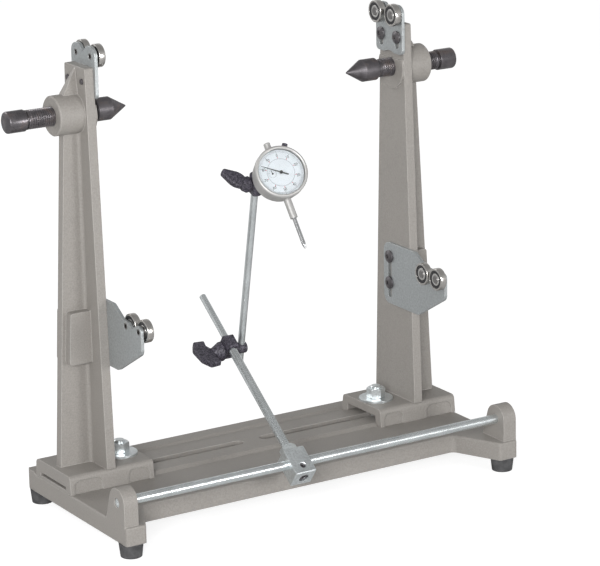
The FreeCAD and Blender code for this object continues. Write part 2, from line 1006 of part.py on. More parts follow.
def top_bracket():
    """The top plate: two ears with a V between them and two height slots."""
    ears = top_roller_z + ear_radius
    low = top_screw_z - top_plate_below
    corners = [
        (-top_half_width, low, top_corner_round),
        (-top_half_width, ears, ear_radius),
        (-top_notch_half_width, ears, top_corner_round),
        (0, ears - top_notch_depth, notch_round),
        (top_notch_half_width, ears, top_corner_round),
        (top_half_width, ears, ear_radius),
        (top_half_width, low, top_corner_round),
    ]
    plate = plate_from(corners)
    sag = (top_arch_half_width ** 2 + top_arch_height ** 2) / (2 * top_arch_height)
    plate = plate.cut(bar("X", 0, low + top_arch_height - sag, -2 * plate_thickness, 0, 2 * sag))
    low = top_screw_z - top_travel_up
    high = top_screw_z + top_travel_down
    for y in (-top_screw_half_spacing, top_screw_half_spacing):
        plate = plate.cut(slot_along_z(y, low, high, bracket_slot_width))
    for y, roller_z in top_roller_places():
        plate = plate.cut(pin_hole(y, roller_z))
    return plate


def low_bracket(lift):
    """The low plate: it reaches forward from the flange to a pair of rollers."""
    top = second_screw_z + low_plate_above + lift
    bottom = low_screw_z - low_plate_below + lift
    ears = low_roller_z + low_ear_radius + lift
    centre = -low_roller_forward
    front = centre - low_roller_half_spacing - low_ear_radius
    back_ear = centre + low_roller_half_spacing + low_ear_radius
    lip = top_corner_round - notch_round
    corners = [
        (low_plate_back, bottom + small_edge, low_corner_round),
        (low_plate_back, top, low_corner_round),
        (back_ear + 2 * ear_radius, top, low_corner_round),
        (back_ear, ears, low_corner_round),
        (centre + top_notch_half_width, ears, lip),
        (centre, ears - low_notch_depth, notch_round),
        (centre - top_notch_half_width, ears, lip),
        (front, ears, low_ear_radius),
        (front, bottom + low_plate_chamfer_height, low_front_round),
        (-low_plate_vertex, bottom, low_front_round),
    ]
    plate = plate_from(corners)
    low = low_screw_z - low_slot_below + lift
    high = second_screw_z + low_slot_above + lift
    plate = plate.cut(slot_along_z(low_screw_back, low, high, bracket_slot_width))
    for y, z in low_roller_places(lift):
        plate = plate.cut(pin_hole(y, z))
    return plate


def button_screw(y, z, far):
    """A black button-head screw through a bracket slot into the casting."""
    face = -slide_gap - plate_thickness - slide_gap
    radius = bracket_screw_head / 2
    profile = [
        (0, face - bracket_screw_head_height),
        (radius * half_share, face - bracket_screw_head_height),
        (radius, face - bracket_screw_head_height * half_share),
        (radius, face),
        (bracket_screw_diameter / 2, face),
        (bracket_screw_diameter / 2, far - small_edge),
        (bracket_screw_diameter / 2 - small_edge, far),
        (0, far),
    ]
    screw = turned(profile, "X")
    head = face - bracket_screw_head_height
    socket = prism("YZ", hexagon(bracket_screw_socket), head - reach, head + bracket_socket_depth)
    screw = screw.cut(socket)
    screw.translate(V(0, y, z))
    return screw


def bearing_inner_face():
    """Local x of the bearing face that looks at the bracket plate."""
    return -slide_gap - plate_thickness - pin_shoulder_length


def roller_core(y, z):
    """What stays still in a roller: its pin, the inner ring and the balls."""
    face = bearing_inner_face()
    centre = face - bearing_width / 2
    outside = -slide_gap
    pin = turned(
        [
            (0, face - bearing_width),
            (bearing_bore / 2 - small_edge, face - bearing_width),
            (bearing_bore / 2, face - bearing_width + small_edge),
            (bearing_bore / 2, face),
            (pin_shoulder_diameter / 2, face),
            (pin_shoulder_diameter / 2, face + pin_shoulder_length),
            (pin_shank_diameter / 2, face + pin_shoulder_length),
            (pin_shank_diameter / 2, outside),
            (0, outside),
        ],
        "X",
    )
    pin = pin.cut(prism("YZ", hexagon(pin_socket_width), outside - pin_socket_depth, outside))
    pitch = (bearing_inner_race + bearing_outer_race) / 4
    width = bearing_width - small_edge
    ring = bar("X", 0, 0, centre - width / 2, centre + width / 2, bearing_inner_race)
    ring = ring.cut(bar("X", 0, 0, centre - bearing_width, centre + bearing_width, bearing_bore + tiny))
    groove = ball_diameter / 2 + race_clearance
    ring = ring.cut(Part.makeTorus(pitch, groove, V(centre, 0, 0), V(1, 0, 0)))
    solids = [pin, ring]
    for i in range(ball_count):
        turn = 2 * math.pi * i / ball_count
        place = V(centre, pitch * math.cos(turn), pitch * math.sin(turn))
        solids.append(Part.makeSphere(ball_diameter / 2, place))
    for solid in solids:
        solid.translate(V(0, y, z))
    return solids


def roller_ring(y, z):
    """What turns in a roller: the outer ring with its two shields."""
    face = bearing_inner_face()
    centre = face - bearing_width / 2
    pitch = (bearing_inner_race + bearing_outer_race) / 4
    outer = bearing_diameter / 2
    race = bearing_outer_race / 2
    edge = small_edge
    half = bearing_width / 2
    ring = turned(
        [
            (race, centre - half),
            (outer - edge, centre - half),
            (outer, centre - half + edge),
            (outer, centre + half - edge),
            (outer - edge, centre + half),
            (race, centre + half),
        ],
        "X",
    )
    groove = ball_diameter / 2 + race_clearance
    ring = ring.cut(Part.makeTorus(pitch, groove, V(centre, 0, 0), V(1, 0, 0)))
    solids = [ring]
    for side in (-1, 1):
        near = centre + side * (half - shield_inset)
        far = near - side * shield_thickness
        shield = bar("X", 0, 0, min(near, far), max(near, far), bearing_outer_race)
        shield = shield.cut(bar("X", 0, 0, min(near, far) - reach, max(near, far) + reach, shield_bore))
        solids.append(shield)
    for solid in solids:
        solid.translate(V(0, y, z))
    return solids


def seated(shapes, side):
    """Pieces drawn on the flange's inner face, seated on their side of the stand."""
    result = []
    for shape in shapes:
        moved = shape if side == right_shift else shape.mirror(V(0, 0, 0), V(1, 0, 0))
        moved.translate(V(side * flange_x, 0, 0))
        result.append(moved)
    return result


def add_side(name, side):
    """All pieces of one upright."""
    lift = low_left_lift if side == left_shift else 0
    tip = left_tip_reach if side == left_shift else right_tip_reach
    top_far = flange_thickness + bracket_screw_proud
    spots = (-top_screw_half_spacing, top_screw_half_spacing)
    top_screws = [button_screw(y, top_screw_z, top_far) for y in spots]
    low_screws = [button_screw(low_screw_back, z, low_screw_bite()) for z in low_screw_places()]
    pieces = {
        "upright": [upright()],
        "clamp_bolt": [clamp_bolt()],
        "clamp_nut": [clamp_nut()],
        "clamp_washer": [clamp_washer()],
        "spindle_cone": [spindle_cone(tip)],
        "spindle_screw": [spindle_screw(tip)],
        "top_bracket": [top_bracket()],
        "top_bracket_screws": top_screws,
        "low_bracket": [low_bracket(lift)],
        "low_bracket_screws": low_screws,
    }
    for level, places in (("top", top_roller_places()), ("low", low_roller_places(lift))):
        cores = []
        for end, (y, z) in zip(("front", "back"), places):
            cores.extend(roller_core(y, z))
            pieces[level + "_" + end + "_roller"] = roller_ring(y, z)
        pieces[level + "_roller_pins"] = cores
    for piece, shapes in pieces.items():
        add(name + "_" + piece, *seated(shapes, side))


# Gauge arm, drawn in the arm's own axes: local z up the arm, local y up from it


arm_turn = math.radians(arm_angle)
arm_axis = V(0, math.cos(arm_turn), math.sin(arm_turn))
arm_normal = V(0, -math.sin(arm_turn), math.cos(arm_turn))
arm_origin = V(-arm_offset, rod_y, rod_z)


def on_arm(shape):
    """Seat a piece that is drawn with +Z up the arm and +Y on its upper side."""
    return placed(shape, arm_origin, arm_normal.cross(arm_axis), arm_axis)


def clamp_block():
    """The square block on the front rod that carries the arm."""
    edge = block_width / 2
    side = block_depth / 2
    block = box((-edge, edge), (-side, side), (-block_lower, block_upper))
    block = block.makeChamfer(block_edge, block.Edges)
    block = block.cut(bar("X", 0, 0, -edge - reach, edge + reach, rod_diameter + 2 * rod_fit))
    thread = arm_thread_diameter + 2 * thread_fit
    block = block.cut(bar("Z", 0, 0, block_upper - arm_thread_bite, block_upper + reach, thread))
    recess = -block_lower + cap_screw_sunk + cap_screw_head_height
    block = block.cut(bar("Z", 0, 0, -block_lower - reach, recess, cap_recess_diameter))
    block = block.cut(bar("Z", 0, 0, recess - reach, 0, cap_screw_diameter + 2 * thread_fit))
    low = side - set_screw_sunk - set_screw_length - thread_fit
    hole = bar("Y", 0, -set_screw_down, low, side + reach, set_screw_diameter + 2 * thread_fit)
    block = block.cut(hole)
    mouth = Part.makeCone(
        set_screw_diameter / 2,
        set_screw_mouth / 2,
        set_screw_mouth / 2 - set_screw_diameter / 2,
        V(0, side - (set_screw_mouth - set_screw_diameter) / 2, -set_screw_down),
        V(0, 1, 0),
    )
    return on_arm(block.cut(mouth))


def block_screws():
    """The clamp screw in the block's lower end and the grub screw in its upper face."""
    top = -rod_diameter / 2 - rod_fit - seat_gap
    seat = -block_lower + cap_screw_sunk
    head = bar("Z", 0, 0, seat, seat + cap_screw_head_height, cap_screw_head)
    shank = bar("Z", 0, 0, seat, top, cap_screw_diameter)
    cap = head.fuse(shank).cut(hex_bar(cap_screw_socket, seat - reach, seat + cap_screw_head_height / 2))
    side = block_depth / 2 - set_screw_sunk
    grub = bar("Y", 0, -set_screw_down, side - set_screw_length, side, set_screw_diameter)
    socket = prism("XZ", hexagon(set_screw_diameter / 2), side - set_screw_length / 2, side + reach)
    socket.translate(V(0, 0, -set_screw_down))
    return [on_arm(cap), on_arm(grub.cut(socket))]


def jam_nut():
    """The thin nut that locks the arm rod in the block."""
    nut = chamfered_nut(jam_nut_width, jam_nut_height, arm_thread_diameter + 2 * thread_fit)
    nut.translate(V(0, 0, block_upper + seat_gap))
    return on_arm(nut)


def arm_rod():
    """The stepped lower rod: thread in the block, thick part, thin part for the swivel."""
    start = block_upper - arm_thread_bite + small_edge
    thick = block_upper + seat_gap + jam_nut_height
    profile = [
        (0, start),
        (arm_thread_diameter / 2 - small_edge, start),
        (arm_thread_diameter / 2, start + small_edge),
        (arm_thread_diameter / 2, thick),
        (arm_diameter / 2 - small_edge, thick),
        (arm_diameter / 2, thick + small_edge),
        (arm_diameter / 2, arm_thick_end - small_edge),
        (arm_diameter / 2 - small_edge, arm_thick_end),
        (arm_thin_diameter / 2, arm_thick_end),
        (arm_thin_diameter / 2, arm_length - small_edge),
        (arm_thin_diameter / 2 - small_edge, arm_length),
        (0, arm_length),
    ]
    return on_arm(turned(profile, "Z"))


# Swivel: local x along the pivot, measured from the arm's plane


def swivel_body():
    """The moulded clamp on the thin rod, with the cross hole of its stud below the rod."""
    corners = [
        (-swivel_half_length, -swivel_low, swivel_round),
        (swivel_half_length, -swivel_low, swivel_round),
        (swivel_half_length, swivel_top, swivel_round / 2),
        (-swivel_half_length, swivel_top, swivel_round / 2),
    ]
    body = prism("YZ", [(b, a, r) for a, b, r in corners], -swivel_half_width, swivel_half_width)
    end = swivel_half_length + reach
    body = body.cut(bar("Z", 0, 0, -end, end, arm_thin_diameter + 2 * rod_fit))
    far = swivel_half_width + reach
    body = body.cut(bar("X", -swivel_drop, 0, -far, far, stud_diameter + 2 * running_fit))
    groove = box((-far, -swivel_half_width + small_edge), (-small_edge, small_edge), (-end, end))
    body = body.cut(groove)
    body.translate(V(0, 0, swivel_along))
    return on_arm(body)


def pivot_centre():
    """Where the swivel's pivot crosses the arm's plane."""
    return arm_origin + arm_axis * swivel_along - arm_normal * swivel_drop


def upper_axis():
    """Direction of the upper rod, leaning forward."""
    lean = math.radians(upper_lean)
    return V(0, -math.sin(lean), math.cos(lean))


def eye_centre():
    """Centre of the eye: on the pivot, in the plane of the upper rod."""
    return pivot_centre() + V(arm_offset - eye_offset, 0, 0)


def swivel_eye():
    """The eye that grips the upper rod, with the stud that runs to the wing knob."""
    eye = eye_centre()
    near = pivot_centre().x + swivel_half_width + seat_gap
    drum = bar("X", eye.y, eye.z, near, eye.x + eye_length / 2, eye_diameter)
    drum = softened(drum, 2 * small_edge, lambda e: e.Closed and middle(e).x > eye.x)
    hub_face = pivot_centre().x - swivel_half_width - seat_gap
    stud = bar("X", eye.y, eye.z, hub_face - wing_thread_depth + reach, near + reach, stud_diameter)
    whole = joined([drum, stud])
    bottom = eye - upper_axis() * eye_diameter
    size = upper_diameter / 2 + rod_fit
    return whole.cut(Part.makeCylinder(size, 2 * eye_diameter, bottom, upper_axis()))


def wing_outline():
    """The wing seen flat, as (along the stud, across it): two wide blades with full tips."""
    hub = wing_hub_small / 2
    start = wing_hub_length
    end = wing_hub_length + wing_depth
    half = [
        (start - reach, hub),
        (start + wing_flare, wing_inner_reach, wing_round),
        (start - wing_flare, wing_tip_reach, wing_round / 2),
        (start + wing_tip_depth, wing_tip_reach + wing_flare, wing_round),
        (end, wing_outer_reach, 3 * wing_round),
    ]
    mirrored = [(place[0], -place[1], *place[2:]) for place in reversed(half)]
    return half + mirrored


def wing_knob():
    """A wing knob along +Z: flared hub, two blades, threaded bore from the hub's foot."""
    foot = wing_hub_diameter / 2
    neck = wing_hub_small / 2
    profile = [
        (0, 0),
        (foot - small_edge, 0),
        (foot, small_edge),
        (foot, wing_hub_rim),
        (neck, wing_hub_length - reach),
        (neck, wing_hub_length + reach),
        (0, wing_hub_length + reach),
    ]
    edge = wing_thickness / 2
    blades = prism("YZ", [(y, z, *r) for z, y, *r in wing_outline()], -edge, edge)
    blades = softened(blades, 2 * small_edge, lambda e: abs(abs(middle(e).x) - edge) < tiny)
    knob = turned(profile, "Z").fuse(blades)
    return knob.cut(bar("Z", 0, 0, -reach, wing_thread_depth, stud_diameter + 2 * thread_fit))


def swivel_wing():
    """The wing knob on the left of the swivel."""
    start = pivot_centre() - V(swivel_half_width + 2 * seat_gap, 0, 0)
    lean = math.radians(wing_angle)
    blade = V(0, math.cos(lean), math.sin(lean))
    outward = V(-1, 0, 0)
    return placed(wing_knob(), start, blade.cross(outward), outward)


def upper_foot():
    """The lower end of the upper rod, below the eye."""
    return eye_centre() - upper_axis() * (eye_diameter / 2 + upper_below)


def upper_rod():
    """The upper rod, from below the eye to the head clamp."""
    rod = Part.makeCylinder(upper_diameter / 2, upper_length)
    rod = rod.makeChamfer(small_edge, [e for e in rod.Edges if e.Closed])
    return along(upper_axis(), rod, upper_foot())


# Dial gauge: local x to the right of the face, y away from the stem, z out of the face


def dial_axes():
    """Right, up and outward directions of the dial."""
    yaw = math.radians(dial_pivot_yaw)
    tilt = math.radians(dial_tilt)
    outward = V(-math.sin(yaw) * math.cos(tilt), -math.cos(yaw) * math.cos(tilt), math.sin(tilt))
    level = V(math.cos(yaw), -math.sin(yaw), 0)
    roll = math.radians(dial_roll)
    up_level = outward.cross(level)
    right = level * math.cos(roll) + up_level * math.sin(roll)
    return right, outward.cross(right), outward


def head_centre():
    """Where the head clamp's pivot crosses the upper rod's line."""
    return upper_foot() + upper_axis() * (upper_length + head_socket_gap + head_flat)


def head_clamp():
    """The clamp on the top of the upper rod: a socket below and a cross stud above."""
    right = dial_axes()[0]
    sleeve = Part.makeCylinder(head_diameter / 2, head_below + head_above)
    sleeve = softened(sleeve, 2 * small_edge, lambda e: e.Closed)
    body = along(upper_axis(), sleeve, head_centre() - upper_axis() * head_below)
    face = head_diameter / 2 - small_edge
    wide = 2 * head_diameter
    slab = box((-face - wide, -face), (-wide, wide), (-wide, wide))
    level = upper_axis().cross(right).normalize()
    body = body.cut(placed(slab, head_centre(), right, right.cross(level).normalize()))
    drum = Part.makeCylinder(head_drum_diameter / 2, head_reach)
    body = body.fuse(along(right, drum, head_centre()))
    rod = Part.makeCylinder(upper_diameter / 2 + rod_fit, head_below + reach)
    bottom = upper_foot() + upper_axis() * (upper_length - head_below)
    body = body.cut(along(upper_axis(), rod, bottom))
    start = head_centre() + right * (head_reach + lug_thickness_dial + 2 * seat_gap)
    length = head_reach + lug_thickness_dial + face + lever_thread_depth
    stud = along(right * -1, Part.makeCylinder(stud_diameter / 2, length), start)
    cap = along(right, Part.makeCylinder(head_cap_diameter / 2, head_cap_length), start)
    return joined([body, stud, cap])


def lever_outline():
    """The lever's leaf, as (across the stud, along it): widest near the hub, narrow at the tip."""
    lean = math.radians(lever_lean)
    widest = lever_length * lever_widest_share
    half = [
        (0, lever_root_width / 2),
        (widest, lever_width / 2, lever_width),
        (lever_length, lever_tip_width / 2, lever_tip_width / 2 - small_edge),
    ]
    mirrored = [(place[0], -place[1], *place[2:]) for place in reversed(half)]
    corners = []
    for length, side, *radius in half + mirrored:
        across_stud = length * math.sin(lean) - side * math.cos(lean)
        along_stud = lever_root + length * math.cos(lean) + side * math.sin(lean)
        corners.append((across_stud, along_stud, *radius))
    return corners


def lever_knob():
    """A clamping lever along +Z: a crowned hub with one leaf-shaped handle leaning off it."""
    foot = lever_hub_diameter / 2
    profile = [
        (0, 0),
        (foot - small_edge, 0),
        (foot, small_edge),
        (foot, lever_hub_length - lever_hub_crown),
        (lever_hub_small / 2, lever_hub_length),
        (0, lever_hub_length),
    ]
    edge = lever_thickness / 2
    leaf = prism("YZ", lever_outline(), -edge, edge)
    leaf = softened(leaf, lever_edge, lambda e: abs(abs(middle(e).x) - edge) < tiny)
    knob = joined([turned(profile, "Z"), leaf])
    return knob.cut(bar("Z", 0, 0, -reach, lever_thread_depth, stud_diameter + 2 * thread_fit))


def head_lever():
    """The clamping lever on the left of the head clamp, raised up and back."""
    right, up, face_way = dial_axes()
    start = head_centre() - right * (head_diameter / 2 - small_edge + seat_gap)
    turn = math.radians(lever_turn)
    blade = up * math.cos(turn) - face_way * math.sin(turn)
    outward = right * -1
    return placed(lever_knob(), start, blade.cross(outward), outward)


def dial_origin():
    """Centre of the case's back face, in front of the lug."""
    right, up, outward = dial_axes()
    lug = head_centre() + right * (head_reach + seat_gap + lug_thickness_dial / 2)
    return lug + outward * lug_reach - up * lug_rise


def on_dial(shape):
    """Seat a piece drawn about the middle of the case's back face."""
    right, up, outward = dial_axes()
    return placed(shape, dial_origin(), right, outward)


stem_z = case_depth / 2
rim_z = case_depth + bezel_gap
front_z = rim_z + bezel_height
face_z = front_z - face_sunk - face_thickness


def dial_case():
    """The hollow case with its stem, its top bush and the lug on its back."""
    radius = case_diameter / 2
    case = Part.makeCylinder(radius, case_depth)
    case = softened(case, case_back_edge, lambda e: e.Closed and abs(middle(e).z) < tiny)
    neck = bar("Z", 0, 0, case_depth - reach, face_z, face_diameter + small_edge)
    case = joined([case, neck])
    inside = bar("Z", 0, 0, case_wall, face_z - case_wall, case_diameter - 4 * case_wall)
    case = case.cut(inside)
    stem = bar("Y", 0, stem_z, -radius - stem_length, -radius + 2 * case_wall, stem_diameter)
    bush = bar("Y", 0, stem_z, radius - 2 * case_wall, radius + reach, cap_diameter)
    edge = lug_thickness_dial / 2
    ear = prism(
        "YZ",
        [
            (lug_rise - lug_half_height, small_edge),
            (lug_rise - lug_half_height, -lug_reach - lug_half_height, lug_half_height * (1 - tiny)),
            (lug_rise + lug_half_height, -lug_reach - lug_half_height, lug_half_height * (1 - tiny)),
            (lug_rise + lug_half_height, small_edge),
        ],
        -edge,
        edge,
    )
    case = joined([case, stem, bush, ear])
    case = case.cut(bar("X", lug_rise, -lug_reach, -edge - reach, edge + reach, lug_hole_diameter))
    bore = plunger_diameter + 2 * running_fit
    case = case.cut(bar("Y", 0, stem_z, -radius - stem_length - reach, -radius + 3 * case_wall, bore))
    case = case.cut(bar("Y", 0, stem_z, radius - 3 * case_wall, radius + 2 * reach, bore))
    arbor = arbor_diameter + 2 * running_fit
    case = case.cut(bar("Z", 0, 0, case_wall, face_z + reach, arbor))
    case = case.cut(bar("Z", -counter_offset, counter_rise, face_z - 2 * case_wall, face_z + reach, arbor))
    return on_dial(case)


def plunger_cap():
    """The small cap over the plunger's upper end."""
    start = case_diameter / 2 + reach
    cap = bar("Y", 0, stem_z, start, start + cap_length, cap_diameter)
    cap = softened(cap, 2 * small_edge, lambda e: e.Closed and middle(e).y > start + reach)
    bore = plunger_diameter + 2 * running_fit
    return on_dial(cap.cut(bar("Y", 0, stem_z, start - reach, start + cap_length - reach, bore)))


def plunger():
    """The plunger rod, from inside the case to its shoulder for the tip."""
    low = -case_diameter / 2 - stem_length - plunger_shown
    rod = bar("Y", 0, stem_z, low, -case_diameter / 2 + plunger_inside, plunger_diameter)
    return on_dial(rod)


def contact_tip():
    """The screwed-on contact point with its small ball end."""
    low = -case_diameter / 2 - stem_length - plunger_shown
    ball = tip_ball_diameter / 2
    profile = [
        (0, low),
        (tip_diameter / 2, low),
        (tip_diameter / 2, low - tip_collar_length),
        (ball, low - tip_length + ball),
        (0, low - tip_length + ball),
    ]
    shank = turned(profile, "Y")
    end = Part.makeSphere(ball, V(0, low - tip_length + ball, 0))
    tip = shank.fuse(end)
    tip.translate(V(0, 0, stem_z))
    return on_dial(tip)


def face_ring():
    """The graduated ring under the glass, which turns with the bezel."""
    plate = bar("Z", 0, 0, face_z + seat_gap, face_z + face_thickness, face_diameter)
    hole = face_centre_diameter + 2 * running_fit
    return on_dial(plate.cut(bar("Z", 0, 0, face_z - reach, front_z, hole)))


def face_centre():
    """The fixed middle of the face, with the counter hand's little dial."""
    plate = bar("Z", 0, 0, face_z, face_z + face_thickness, face_centre_diameter)
    arbor = arbor_diameter + 2 * running_fit
    plate = plate.cut(bar("Z", 0, 0, face_z - reach, front_z, arbor))
    return on_dial(plate.cut(bar("Z", -counter_offset, counter_rise, face_z - reach, front_z, arbor)))


def dial_bezel():
    """The turning rim: a knurlable wall outside, a rounded lip over the glass."""
    outer = bezel_diameter / 2
    inner = face_diameter / 2 + bezel_gap + small_edge
    lip = outer - bezel_overlap
    glass_low = front_z - bezel_lip - glass_thickness
    profile = [
        (inner, rim_z),
        (outer - small_edge, rim_z),
        (outer, rim_z + small_edge),
        (outer, front_z - bezel_round),
        (outer - bezel_round * half_share, front_z - small_edge),
        (outer - bezel_round, front_z),
        (lip + small_edge, front_z - small_edge),
        (lip, front_z - bezel_lip),
        (inner, front_z - bezel_lip),
        (inner, glass_low),
    ]
    return on_dial(turned(profile, "Z"))


def dial_glass():
    """The clear disc held under the bezel's lip."""
    low = front_z - bezel_lip - glass_thickness
    width = face_diameter + 2 * bezel_gap
    return on_dial(bar("Z", 0, 0, low, front_z - bezel_lip - tiny, width))


def hand(length, tail, width, hub, lift, angle, arbor):
    """A flat hand on its arbor, pointing at an angle from the dial's right."""
    low = face_z + face_thickness + lift
    corners = [
        (-tail, -width / 2),
        (0, -width / 2),
        (length, -hand_thickness / 2),
        (length, hand_thickness / 2),
        (0, width / 2),
        (-tail, width / 2),
    ]
    blade = prism("XY", corners, low, low + hand_thickness)
    boss_disc = bar("Z", 0, 0, low, low + 2 * hand_thickness, hub)
    shaft = bar("Z", 0, 0, low - lift - arbor, low, arbor_diameter)
    pointer = joined([blade, boss_disc, shaft])
    pointer.rotate(V(0, 0, 0), V(0, 0, 1), angle)
    return pointer


def main_hand():
    """The long hand, ten turns over the plunger's travel."""
    hub = hand_hub_diameter
    return on_dial(hand(hand_reach, hand_tail, hand_width, hub, hand_lift, hand_angle, arbor_length))


def counter_hand():
    """The short hand that counts the turns of the long one."""
    width = hand_width / 2
    hub = hand_hub_diameter / 2
    pointer = hand(counter_reach, 0, width, hub, counter_lift, counter_angle, face_thickness)
    pointer.translate(V(-counter_offset, counter_rise, 0))
    return on_dial(pointer)


def beside_bezel(shape):
    """Seat a piece drawn along +Y from the case's middle at the bezel's locking screw."""
    shape.rotate(V(0, 0, 0), V(0, 0, 1), clamp_knob_angle - quarter_turn)
    shape.translate(V(0, 0, stem_z - reach))
    return on_dial(shape)


def bezel_clamp_hole():
    """Cutter for the hole that the locking screw enters, with room for it to turn."""
    radius = case_diameter / 2
    size = clamp_knob_diameter / 2 + 2 * thread_fit
    return beside_bezel(bar("Y", 0, 0, radius - reach - seat_gap, radius + clamp_knob_shank, size))


def bezel_clamp_knob():
    """The little screw beside the bezel that locks it."""
    radius = case_diameter / 2
    neck = radius + clamp_knob_shank
    shank = bar("Y", 0, 0, radius - reach, neck, clamp_knob_diameter / 2)
    grip = bar("Y", 0, 0, neck, neck + clamp_knob_length, clamp_knob_diameter)
    return beside_bezel(joined([shank, grip]))


def add_gauge():
    """All pieces of the gauge and its jointed arm."""
    add("clamp_block", clamp_block())
    add("clamp_block_screws", *block_screws())
    add("jam_nut", jam_nut())
    add("arm_rod", arm_rod())
    add("swivel_body", swivel_body())
    add("swivel_eye", swivel_eye())
    add("swivel_wing_knob", swivel_wing())
    add("upper_rod", upper_rod())
    add("head_clamp", head_clamp())
    add("head_clamp_lever", head_lever())
    add("dial_case", dial_case().cut(bezel_clamp_hole()))
    add("bezel_clamp_knob", bezel_clamp_knob())
    add("dial_bezel", dial_bezel())
    add("dial_glass", dial_glass())
    add("dial_face_ring", face_ring())
    add("dial_face_centre", face_centre())
    add("dial_hand", main_hand())
    add("dial_counter_hand", counter_hand())
    add("plunger", plunger())
    add("contact_tip", contact_tip())
    add("plunger_cap", plunger_cap())


def origin_shift():
    """The move that puts the origin on the bench under the middle of the whole box."""
    whole = Part.makeCompound(list(parts.values())).BoundBox
    return V(-whole.Center.x, -whole.Center.y, -whole.ZMin)


def main():
    """Build every sub-part, move them all alike and write one file for each."""
    add("base_casting", base_casting())
    screws = []
    for name, (x, y) in pad_places().items():
        add(name + "_foot_pad", foot_pad(x, y))
        screws.append(pad_screw(x, y))
    add("foot_pad_screws", *screws)
    add("front_rod", front_rod())
    add_side("left", left_shift)
    add_side("right", right_shift)
    add_gauge()
    os.makedirs("parts", exist_ok=True)
    shift = origin_shift()
    for name, shape in parts.items():
        shape.translated(shift).exportStep(os.path.join("parts", name + ".step"))


main()
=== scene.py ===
"""Looks of the wheel truing stand: finishes, threads, rollers, dial printing, stage and camera.

Metres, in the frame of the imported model: +X along the base, +Y to the back, +Z up, bench at 0.
Every shape is worked out as whole arrays from two parameters, and every pattern is procedural.
"""
import json
import math

import bmesh
import bpy
import numpy as np
from bpy.props import FloatProperty, FloatVectorProperty, IntProperty, PointerProperty
from mathutils import Matrix, Vector


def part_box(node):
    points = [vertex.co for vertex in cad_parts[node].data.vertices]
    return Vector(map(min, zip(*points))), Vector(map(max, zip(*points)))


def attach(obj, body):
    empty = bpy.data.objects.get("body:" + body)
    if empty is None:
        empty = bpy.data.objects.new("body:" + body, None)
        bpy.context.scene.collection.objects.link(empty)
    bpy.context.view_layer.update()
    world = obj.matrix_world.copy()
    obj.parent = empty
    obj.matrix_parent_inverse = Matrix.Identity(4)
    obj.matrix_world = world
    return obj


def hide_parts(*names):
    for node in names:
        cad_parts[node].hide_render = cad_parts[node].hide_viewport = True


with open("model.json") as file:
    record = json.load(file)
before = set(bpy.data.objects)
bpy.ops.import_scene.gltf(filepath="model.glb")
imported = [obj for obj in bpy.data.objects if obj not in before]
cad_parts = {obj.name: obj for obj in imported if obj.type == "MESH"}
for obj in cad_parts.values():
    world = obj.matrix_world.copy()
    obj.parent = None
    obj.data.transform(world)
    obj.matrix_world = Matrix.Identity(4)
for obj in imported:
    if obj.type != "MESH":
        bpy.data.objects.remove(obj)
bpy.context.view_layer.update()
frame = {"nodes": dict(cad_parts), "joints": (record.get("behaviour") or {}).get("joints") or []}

bl_info = {
    "name": "Truing stand dresser",
    "version": (1, 0, 0),
    "blender": (4, 5, 0),
    "location": "3D View > Sidebar > Truing stand",
    "description": "Finishes, threads, rollers and dial printing for a wheel truing stand",
    "category": "Object",
}

JOINTS = {joint["name"]: joint for joint in frame["joints"]}
SIDES = ("left", "right")
LEVELS = ("top", "low")
ENDS = ("front", "back")

# Spindle, along it from its nose, in metres

NECK_START = 0.0135
THREAD_START = 0.0185
GROOVE_START = 0.0906
KNOB_START = 0.0930
SPINDLE_END = 0.1130
NOSE_RADIUS = 0.0060
NECK_RADIUS = 0.0085
THREAD_RADIUS = 0.0100
GROOVE_RADIUS = 0.0084
KNOB_RADIUS = 0.01125
THREAD_CHAMFER = 0.0008
THREAD_DEPTH = 0.0013

# Roller, in metres

RING_HALF = 0.0035
RING_RADIUS = 0.0120
RACE_RADIUS = 0.0099
SHIELD_BORE = 0.0069
SHIELD_HALF = 0.00025
SHIELD_INSET = 0.00055
INNER_RADIUS = 0.0067
BORE_RADIUS = 0.0045
PIN_RADIUS = 0.00448
SHOULDER_RADIUS = 0.0055
SHOULDER_LENGTH = 0.0015
SHANK_RADIUS = 0.0035
SOCKET_WIDTH = 0.0040
SOCKET_DEPTH = 0.0035

# Dial: ink between two heights over the dial's middle, angles clockwise from its up

INK = (0.01929, 0.01934)
ZERO_TURN = math.radians(6.2)
GRADUATIONS = 100
NUMBERS = 10
NUMBER_RADIUS = 0.0184
COUNTER_PLACE = (-0.0091, 0.0008)
FULL_TURN = 2.0 * math.pi


# Settings


class StandSizes(bpy.types.PropertyGroup):
    """Sizes that a user may change without touching the frame."""

    edge_radius: FloatProperty(
        name="Casting edge radius",
        description="Rounding that the edges of the castings show",
        default=0.0013,
        subtype="DISTANCE",
        unit="LENGTH",
    )
    sand_grain: FloatProperty(
        name="Sand grain",
        description="Size of the grain that the mould leaves on the castings",
        default=0.0016,
        subtype="DISTANCE",
        unit="LENGTH",
    )
    spindle_pitch: FloatProperty(
        name="Spindle pitch",
        description="Pitch of the spindle threads",
        default=0.0025,
        subtype="DISTANCE",
        unit="LENGTH",
    )
    stud_pitch: FloatProperty(
        name="Stud pitch",
        description="Pitch of the clamp bolt threads",
        default=0.00175,
        subtype="DISTANCE",
        unit="LENGTH",
    )
    numeral_height: FloatProperty(
        name="Numeral height",
        description="Height of the numbers on the dial",
        default=0.0031,
        subtype="DISTANCE",
        unit="LENGTH",
    )
    turn_segments: IntProperty(
        name="Segments of a turn",
        description="Number of flats that a round piece is made of",
        default=72,
        min=24,
        max=240,
    )


